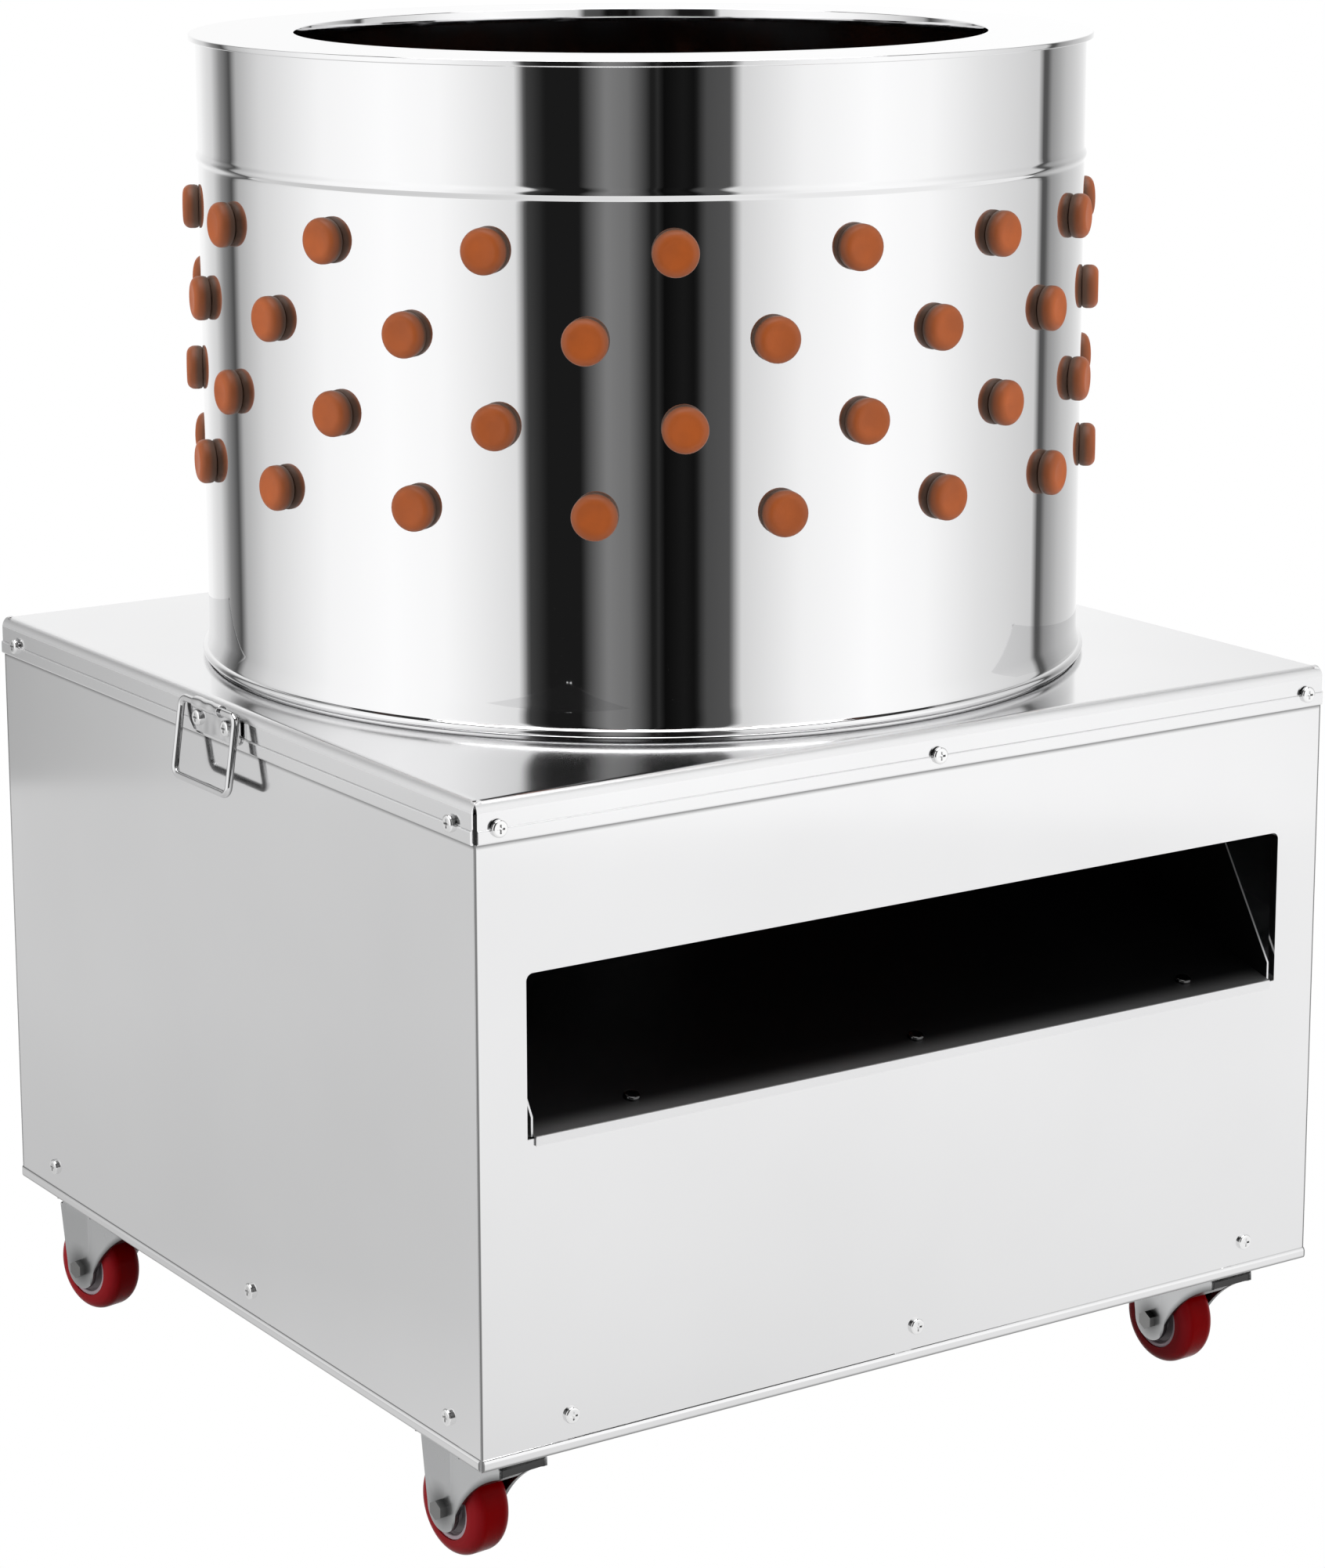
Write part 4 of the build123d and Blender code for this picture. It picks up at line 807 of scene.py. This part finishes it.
def handleBrackets():
    y0 = bail["axis"][1]
    r = bracket["round"]
    cutAlong, cutUp = bracket["cut"]
    near, far = y0 - bracket["half"], y0 + bracket["half"]
    low, high = bracket["low"], bail["axis"][2]
    outline = [(far - cutAlong, low), (far, low + cutUp), (far, high), (near, high)]
    outline += arc((near + r, low + r), r, 180, 270, 7)
    parts = []
    for side in (-1, 1):
        inner, outer = sorted((side * bracket["faces"][0], side * bracket["faces"][1]))
        parts += [plateSolid(outline, inner, outer), rolledBarrel(side)]
    piece = newPiece("handleBrackets", *gathered(parts), sharpAngle=None)
    bevelled(piece, bracket["edge"])
    dress(piece, "plateSteel")
    standsFor(piece, "housing", "handle_brackets")


handleBail("leftHandleBail", "left_handle_bail", "left_bail", -1)
handleBail("rightHandleBail", "right_handle_bail", "right_bail", 1)
handleBrackets()
print("handles made")

# Casters, in millimetres: each is made about its kingpin, the wheel trailing along +Y, then turned to rest

casters = {
    "kingpin": (243.0, 216.0),
    "turns": {"front_left": 4.2, "front_right": 1.0, "rear_left": 11.3, "rear_right": -6.5},  # degrees
    "trail": 18.0,
    "axleLevel": 27.5,
}
fork = {
    "half": 15.65,
    "wall": 2.5,
    "top": 71.2,
    "front": -34.5,
    "frontLow": 61.5,
    "sweep": 3.2,
    "boss": 12.8,
    "flare": 5.5,
    "shoulder": 65.2,
    "bend": 3.0,
    "crease": 8.7,
    "creaseReach": 0.5,
    "heelReach": 0.7,
    "rib": 0.8,
    "ribLow": 40.3,
    "ribHigh": 65.2,
    "ribReach": 1,
    "hoodEnd": -13.0,
    "hoodPlay": 0.5,
    "hoodTop": (70.3, 70.0, 68.2),  # heights of the hood's top from its inner face to its outer one
    "edge": 0.45,
}
# How far and how dark the painted shade on the forks reaches
forkPaintedShade = {"boss": (12.0, 0.9), "edge": (4.0, 0.8), "inside": 0.97, "behind": 0.12}
wheel = {
    "radius": 27.5,
    "half": 12.0,
    "round": 7.5,
    "hub": 18.0,
    "hubHalf": 11.2,
    "web": 8.2,
    "boss": 8.0,
    "bossHalf": 12.85,
    "bore": 3.05,
    "rim": 2.5,
    "chamfer": 0.6,
    "fillet": 0.9,
    "rimEdge": 0.5,
    "webShade": 0.8,
    "sideShade": (6.0, 5.0, 0.8),  # where the paler side starts, over what width it grows, and how far
    "segments": 128,
}


# Centre and radius of the circle through three points.
def circleThrough(a, b, c):
    a, b, c = (np.array(point, float) for point in (a, b, c))
    rows = 2 * np.array([b - a, c - a])
    centre = np.linalg.solve(rows, [b @ b - a @ a, c @ c - a @ a])
    return centre, np.linalg.norm(a - centre)


# Lower edge of the leg at depth y: an arc swept over the wheel, the round boss, then the straight heel.
def legLow(y):
    middle, level = casters["trail"], casters["axleLevel"]
    heel = middle + fork["boss"]
    front, toe = (fork["front"], fork["frontLow"]), (middle - fork["boss"], level)
    between = ((front[0] + toe[0]) / 2 + fork["sweep"], (front[1] + toe[1]) / 2 + fork["sweep"])
    (cy, cz), radius = circleThrough(front, between, toe)
    swept = cz + np.sqrt(np.maximum(radius ** 2 - (y - cy) ** 2, 0))
    around = level - np.sqrt(np.maximum(fork["boss"] ** 2 - (y - middle) ** 2, 0))
    straight = level + (y - heel) * (fork["shoulder"] - level) / fork["flare"]
    return np.where(y < middle - fork["boss"], swept, np.where(y <= heel, around, straight))


# Top of the fork at depth y: a quarter round at the front, level, then a slope down to the rear shoulder.
def forkTop(y):
    bend = fork["bend"]
    ahead = np.clip(fork["front"] + bend - y, 0, bend)
    rounded = fork["top"] - bend + np.sqrt(bend ** 2 - ahead ** 2)
    slopeStart = casters["trail"] + fork["boss"] + fork["flare"] - (fork["top"] - fork["shoulder"])
    return rounded - np.maximum(y - slopeStart, 0)


def smoothStep(value, low, high):
    t = np.clip((value - low) / (high - low), 0, 1)
    return t * t * (3 - 2 * t)


# Section across the fork at each depth: up one leg, round the bend, over the crown and down the other leg.
# inset 0 gives the outer face, inset = wall the inner one; the outer face swells by rib behind the crease.
def forkSkin(depths, inset):
    low = legLow(depths)[:, None]
    top = np.maximum(forkTop(depths)[:, None] - inset, low + 0.05)
    bend = np.minimum(max(fork["bend"] - inset, 0.5), (top - low) * 0.8)
    half = fork["half"] - inset
    leg, corner, crown = 14, 7, 5
    quarter = np.linspace(0, np.pi / 2, corner + 1)[1:]
    up = np.concatenate([np.linspace(0, 1, leg), np.ones(corner + crown)])[None]
    turn = np.concatenate([np.zeros(leg), quarter, np.full(crown, np.pi / 2)])[None]
    run = np.concatenate([np.zeros(leg + corner), np.linspace(0, 1, crown + 2)[1:-1]])[None]
    z = low + (top - bend - low) * up + bend * np.sin(turn)
    x = half - bend * (1 - np.cos(turn)) - (half - bend) * run
    if inset == 0:
        crease, heel = fork["crease"], casters["trail"] + fork["boss"]
        behind = smoothStep(depths, crease - fork["creaseReach"], crease + fork["creaseReach"])
        before = 1 - smoothStep(depths, heel - fork["heelReach"], heel)
        level = smoothStep(z, fork["ribLow"] - fork["ribReach"], fork["ribLow"])
        level = level * (1 - smoothStep(z, fork["ribHigh"] - fork["ribReach"], fork["ribHigh"]))
        x = x + fork["rib"] * (behind * before)[:, None] * level
    y = np.repeat(depths[:, None], x.shape[1], 1)
    right = np.stack([x, y, z], -1)
    left = np.stack([-x[:, ::-1], y, z[:, ::-1]], -1)
    return np.concatenate([right, left], 1)


def forkShell():
    front, crease = fork["front"], fork["crease"]
    toe = casters["trail"] - fork["boss"]
    heel = casters["trail"] + fork["boss"]
    overCrease = [crease + share * fork["creaseReach"] for share in (-1, -0.4, 0.4, 1)]
    boss = casters["trail"] - fork["boss"] * np.cos(np.radians(np.linspace(6, 174, 20)))
    depths = np.sort(np.concatenate([
        np.linspace(front, front + fork["bend"], 8), np.linspace(front + 4.5, toe - 0.1, 22), [toe], boss,
        overCrease, [heel - fork["heelReach"], heel], np.linspace(heel + 0.6, heel + 5.4, 7)]))
    outer = forkSkin(depths, 0)
    inner = forkSkin(depths, fork["wall"])[:, ::-1]
    ring = np.concatenate([outer, inner], 1)
    rows, columns = ring.shape[:2]
    faces = gridFaces(rows, columns, False, True).tolist()
    for row in (0, rows - 1):
        for k in range(columns // 2 - 1):
            faces.append([row * columns + i for i in (k, k + 1, columns - 2 - k, columns - 1 - k)])
    return ring.reshape(-1, 3), faces


# Races and kingpin, turned about the kingpin's axis
def swivelRace():
    outline = [(0, 70.9), (20.2, 70.9), (21, 71.7), (21, 74.3), (20.1, 75.2), (18.6, 75.2), (18.1, 75.7),
               (18, 76.4), (17.2, 77.2), (5, 77.2), (5, 80.3), (8, 80.3), (8, 81.6), (7, 82.5), (0, 82.5)]
    return cappedSolid(outline, 64)


# Sheet between the legs: down the front, then back under along the swept edge
def frontHood():
    front, low, wall = fork["front"], fork["frontLow"], fork["wall"]
    inner, outer, edge = fork["hoodTop"]
    half = fork["half"] - fork["hoodPlay"]
    depths = np.linspace(front, fork["hoodEnd"], 12)
    swept = list(zip(depths.tolist(), (legLow(depths) + 0.3).tolist()))
    back = [(y + wall * 0.6, z + wall * 0.8) for y, z in reversed(swept)]
    outline = swept + back[:-1]
    outline += [(front + wall, low + wall), (front + wall, inner), (front + 1, outer), (front, edge)]
    return plateSolid(outline, -half, half)


# Painted shade: dark inside and in the hood, round the axle's boss and along the lower edge; a bit dark
# behind the crease
def forkShade(points):
    x, y, z = points.T
    apart = np.hypot(y - casters["trail"], z - casters["axleLevel"])
    reach, most = forkPaintedShade["boss"]
    boss = np.exp(-(apart / reach) ** 2) * most
    reach, most = forkPaintedShade["edge"]
    edge = np.clip(1 - (z - legLow(y)) / reach, 0, 1) * most * (y < fork["crease"])
    inside = np.where(abs(x) < fork["half"] - 0.3, forkPaintedShade["inside"], 0)
    behind = np.where(y > fork["crease"], forkPaintedShade["behind"], 0)
    return np.maximum.reduce([boss, edge, inside, behind])


def kingpinPlace(corner):
    signX, signY = corners[corner]
    spin = Matrix.Rotation(math.radians(casters["turns"][corner]), 4, "Z")
    return Matrix.Translation((signX * casters["kingpin"][0], signY * casters["kingpin"][1], 0)) @ spin


def axlePlace(corner):
    return kingpinPlace(corner) @ facing((0, casters["trail"], casters["axleLevel"]), (1, 0, 0))


def treadOutline():
    flat = wheel["half"] - wheel["round"]
    across = wheel["radius"] - wheel["round"]
    return ([(wheel["hub"], -wheel["half"]), (across - 0.8, -wheel["half"])]
            + arc((across, -flat), wheel["round"], -90, 0, 16) + [(wheel["radius"], 0)]
            + arc((across, flat), wheel["round"], 0, 90, 16)
            + [(across - 0.8, wheel["half"]), (wheel["hub"], wheel["half"])])


def hubOutline():
    hub, boss, web = wheel["hub"], wheel["boss"], wheel["web"]
    rim = hub - wheel["rim"]
    face = wheel["hubHalf"]
    end = wheel["bossHalf"]
    chamfer, fillet, edge = wheel["chamfer"], wheel["fillet"], wheel["rimEdge"]
    upper = [(wheel["bore"], end), (boss - chamfer, end), (boss, end - chamfer),
             (boss, web + fillet), (boss + fillet, web), (rim - fillet, web), (rim, web + fillet),
             (rim, face - edge), (rim + edge, face), (hub - 0.4, face), (hub, face - 0.4)]
    return upper + [(r, -z) for r, z in reversed(upper)]


# The hub's web is darker than its rim.
def hubShade(points):
    inside = wheel["hub"] - wheel["rim"] + 0.6 - np.hypot(points[:, 0], points[:, 1])
    return np.clip(inside / 1.2, 0, 1) * wheel["webShade"]


# The tread is paler towards both sides.
def treadShade(points):
    start, width, most = wheel["sideShade"]
    return np.clip((abs(points[:, 2]) - start) / width, 0, 1) * most


forkParts = gathered([forkShell(), frontHood(), swivelRace()])
for corner in corners:
    points, faces = repeated(forkParts, [kingpinPlace(corner)])
    piece = newPiece("casterFork_" + corner, points, faces, sharpAngle=None)
    pointValues(piece, "shade", forkShade(forkParts[0]))
    bevelled(piece, fork["edge"])
    dress(piece, "zinc")
    standsFor(piece, "caster_" + corner, "caster_fork_" + corner)
    for part, outline, shadeOf, key in (("tread", treadOutline(), treadShade, "treadRubber"),
                                        ("hub", hubOutline(), hubShade, "hubPlastic")):
        solid = turnedSolid(outline, wheel["segments"])
        piece = newPiece("caster" + part.title() + "_" + corner, *repeated(solid, [axlePlace(corner)]))
        pointValues(piece, "shade", shadeOf(solid[0]))
        dress(piece, key)
        standsFor(piece, "wheel_" + corner, "caster_" + part + "_" + corner)
print("casters made")

# Studio: a white floor, and a tall round wall of light that the camera doesn't see

wall = {
    "radius": 1700.0,
    "low": -10.0,
    "high": 2300.0,
    "facing": -33.34,  # degrees of the camera's direction
    "segments": 480,
}
# Directions round the wall from the camera's, in degrees, and how bright each is.
wallLights = [
    (-150, 1.00), (-136, 0.74), (-129, 0.30), (-122, 0.08), (-118, 0.50),  # pale paper, then the left flag
    (-106, 0.80), (-82, 1.12), (-62, 1.20), (-48, 1.15), (-29.2, 0.88),  # broad left lamp
    (-26.8, 0.06), (-22, 0.012), (-14, 0.012), (-8, 0.24), (-3, 0.19), (2.5, 0.006),  # dark gap behind
    (3.8, 0.03), (5, 0.004), (9.5, 0.011), (12.5, 0.006), (15, 0.08), (20.5, 0.10),  # the camera, dim windows
    (23.2, 0.80), (38, 1.08), (56, 1.20), (72, 1.14), (90, 0.92), (114, 0.72),  # broad right lamp
    (117, 0.10), (119, 0.10), (122, 0.34), (132, 0.60), (146, 0.80), (165, 1.05),  # right flag, pale paper
]
# Rings as (radius, middle glow, swing of the glow round the ring); it peaks in the brightest direction.
floor = {"rings": ((500.0, 0.79, 0.155), (1000.0, 0.86, 0.16), (1600.0, 0.88, 0.16), (8000.0, 0.88, 0.16)),
         "segments": 96, "brightest": 67.0}


# Emission as strong as the glow attribute
def glowEmission(tree):
    glow = nodeIn(tree, "ShaderNodeEmission", location=(0, 0))
    value = nodeIn(tree, "ShaderNodeAttribute", attribute_name="glow", location=(-250, 0))
    tree.links.new(value.outputs["Fac"], glow.inputs["Strength"])
    return glow.outputs[0]


def stageMaterial(name):
    material = bpy.data.materials.new(name)
    material.use_nodes = True
    material.node_tree.nodes.clear()
    made = nodeIn(material.node_tree, "ShaderNodeOutputMaterial", location=(600, 0))
    return material, material.node_tree, made.inputs["Surface"]


def studioWall():
    count = wall["segments"]
    turn = np.arange(count) * 360.0 / count - 180.0
    angle = np.radians(turn + wall["facing"])
    x = wall["radius"] * np.sin(angle)
    y = -wall["radius"] * np.cos(angle)
    low = np.stack([x, y, np.full(count, wall["low"])], -1)
    high = np.stack([x, y, np.full(count, wall["high"])], -1)
    piece = openPiece("studioWall", np.concatenate([low, high]), gridFaces(2, count, False, True).tolist())
    at, level = np.array(wallLights).T
    values = np.interp(turn, at, level, period=360.0)
    pointValues(piece, "glow", np.concatenate([values, values]))
    material, tree, surface = stageMaterial("wallLight")
    tree.links.new(glowEmission(tree), surface)
    piece.data.materials.append(material)
    piece.visible_camera = False
    piece.visible_shadow = False
    return piece


# White to the camera, lit paper as metal sees it, pale matt paper to everything else.
def floorMaterial():
    material, tree, surface = stageMaterial("floorPaper")
    material.cycles.emission_sampling = "NONE"
    ray = nodeIn(tree, "ShaderNodeLightPath", location=(0, 400))
    white = nodeIn(tree, "ShaderNodeEmission", location=(0, -150))
    white.inputs["Color"].default_value = (1, 1, 1, 1)
    paper = nodeIn(tree, "ShaderNodeBsdfDiffuse", location=(0, -300))
    paper.inputs["Color"].default_value = (0.85, 0.85, 0.85, 1)
    inMetal = nodeIn(tree, "ShaderNodeMixShader", location=(200, 0))
    toCamera = nodeIn(tree, "ShaderNodeMixShader", location=(400, 0))
    tree.links.new(ray.outputs["Is Glossy Ray"], inMetal.inputs[0])
    tree.links.new(paper.outputs[0], inMetal.inputs[1])
    tree.links.new(glowEmission(tree), inMetal.inputs[2])
    tree.links.new(ray.outputs["Is Camera Ray"], toCamera.inputs[0])
    tree.links.new(inMetal.outputs[0], toCamera.inputs[1])
    tree.links.new(white.outputs[0], toCamera.inputs[2])
    tree.links.new(toCamera.outputs[0], surface)
    return material


# Rings of points round the centre, seen in metal: glow = middle + swing * cos(direction - brightest)
def studioFloor():
    count = floor["segments"]
    turn = np.arange(count) * 2 * np.pi / count
    rings, middle, swing = np.array(floor["rings"]).T[:, :, None]
    x = rings * np.sin(turn)
    y = -rings * np.cos(turn)
    points = np.concatenate([np.stack([x, y, 0 * x], -1).reshape(-1, 3), [[0, 0, 0]]])
    faces = gridFaces(len(rings), count, False, True)[:, ::-1].tolist()
    faces += [(count * len(rings), j, (j + 1) % count) for j in range(count)]
    piece = openPiece("studioFloor", points, faces)
    toward = np.cos(turn - math.radians(wall["facing"] + floor["brightest"]))
    pointValues(piece, "glow", np.append((middle + swing * toward).reshape(-1), middle[0]))
    piece.data.materials.append(floorMaterial())
    return piece


studio = [studioWall(), studioFloor()]


def skyLight(tree, strength, y):
    sky = nodeIn(tree, "ShaderNodeBackground", location=(-200, y))
    sky.inputs["Color"].default_value = (1, 1, 1, 1)
    sky.inputs["Strength"].default_value = strength
    return sky.outputs[0]


# White to the camera, nearly dark to everything else
def studioWorld():
    world = bpy.data.worlds.new("studioWorld")
    bpy.context.scene.world = world
    world.use_nodes = True
    tree = world.node_tree
    tree.nodes.clear()
    made = nodeIn(tree, "ShaderNodeOutputWorld", location=(400, 0))
    ray = nodeIn(tree, "ShaderNodeLightPath", location=(-200, 200))
    mixed = nodeIn(tree, "ShaderNodeMixShader", location=(100, 0))
    tree.links.new(ray.outputs["Is Camera Ray"], mixed.inputs[0])
    tree.links.new(skyLight(tree, 0.04, 0), mixed.inputs[1])
    tree.links.new(skyLight(tree, 1.0, -200), mixed.inputs[2])
    tree.links.new(mixed.outputs[0], made.inputs["Surface"])


softLamp = {"place": (0.0, 0.0, 2.6), "size": 2.4, "power": 55.0}


# Soft light from above
def overheadLamp():
    data = bpy.data.lights.new("overheadLamp", "AREA")
    data.shape = "DISK"
    data.size = softLamp["size"]
    data.energy = softLamp["power"]
    lamp = bpy.data.objects.new("overheadLamp", data)
    bpy.context.scene.collection.objects.link(lamp)
    lamp.location = softLamp["place"]
    lamp.visible_camera = False


studioWorld()
overheadLamp()
print("studio made")

# Camera, found by fitting the photo's straight edges and the drum's ellipses

cameraFit = {
    "azimuth": -33.3374,
    "elevation": 12.0352,
    "roll": -0.1716,
    "target": (0.0, 0.0, 0.430),
    "distance": 2.4044,
    "focalPixels": 5286.08,
    "centre": (820.61, 817.44),
    "size": (1692, 2002),
    "sensor": 36.0,
}


def makeCamera():
    az = math.radians(cameraFit["azimuth"])
    el = math.radians(cameraFit["elevation"])
    roll = math.radians(cameraFit["roll"])
    back = Vector((math.sin(az) * math.cos(el), -math.cos(az) * math.cos(el), math.sin(el)))
    right = Vector((math.cos(az), math.sin(az), 0))
    up = back.cross(right)
    tiltedRight = right * math.cos(roll) + up * math.sin(roll)
    tiltedUp = up * math.cos(roll) - right * math.sin(roll)
    data = bpy.data.cameras.new("camera")
    camera = bpy.data.objects.new("camera", data)
    bpy.context.scene.collection.objects.link(camera)
    turn = Matrix((tiltedRight, tiltedUp, back)).transposed().to_4x4()
    place = Vector(cameraFit["target"]) + back * cameraFit["distance"]
    camera.matrix_world = Matrix.Translation(place) @ turn
    width, height = cameraFit["size"]
    data.sensor_width = cameraFit["sensor"]
    data.sensor_fit = "AUTO"
    data.lens = cameraFit["focalPixels"] * cameraFit["sensor"] / height
    data.shift_x = (width / 2 - cameraFit["centre"][0]) / height
    data.shift_y = (cameraFit["centre"][1] - height / 2) / height
    data.clip_end = 50.0
    bpy.context.scene.camera = camera


makeCamera()
scene = bpy.context.scene
scene.render.resolution_x, scene.render.resolution_y = cameraFit["size"]
scene.view_settings.view_transform = "Standard"
print("camera made")
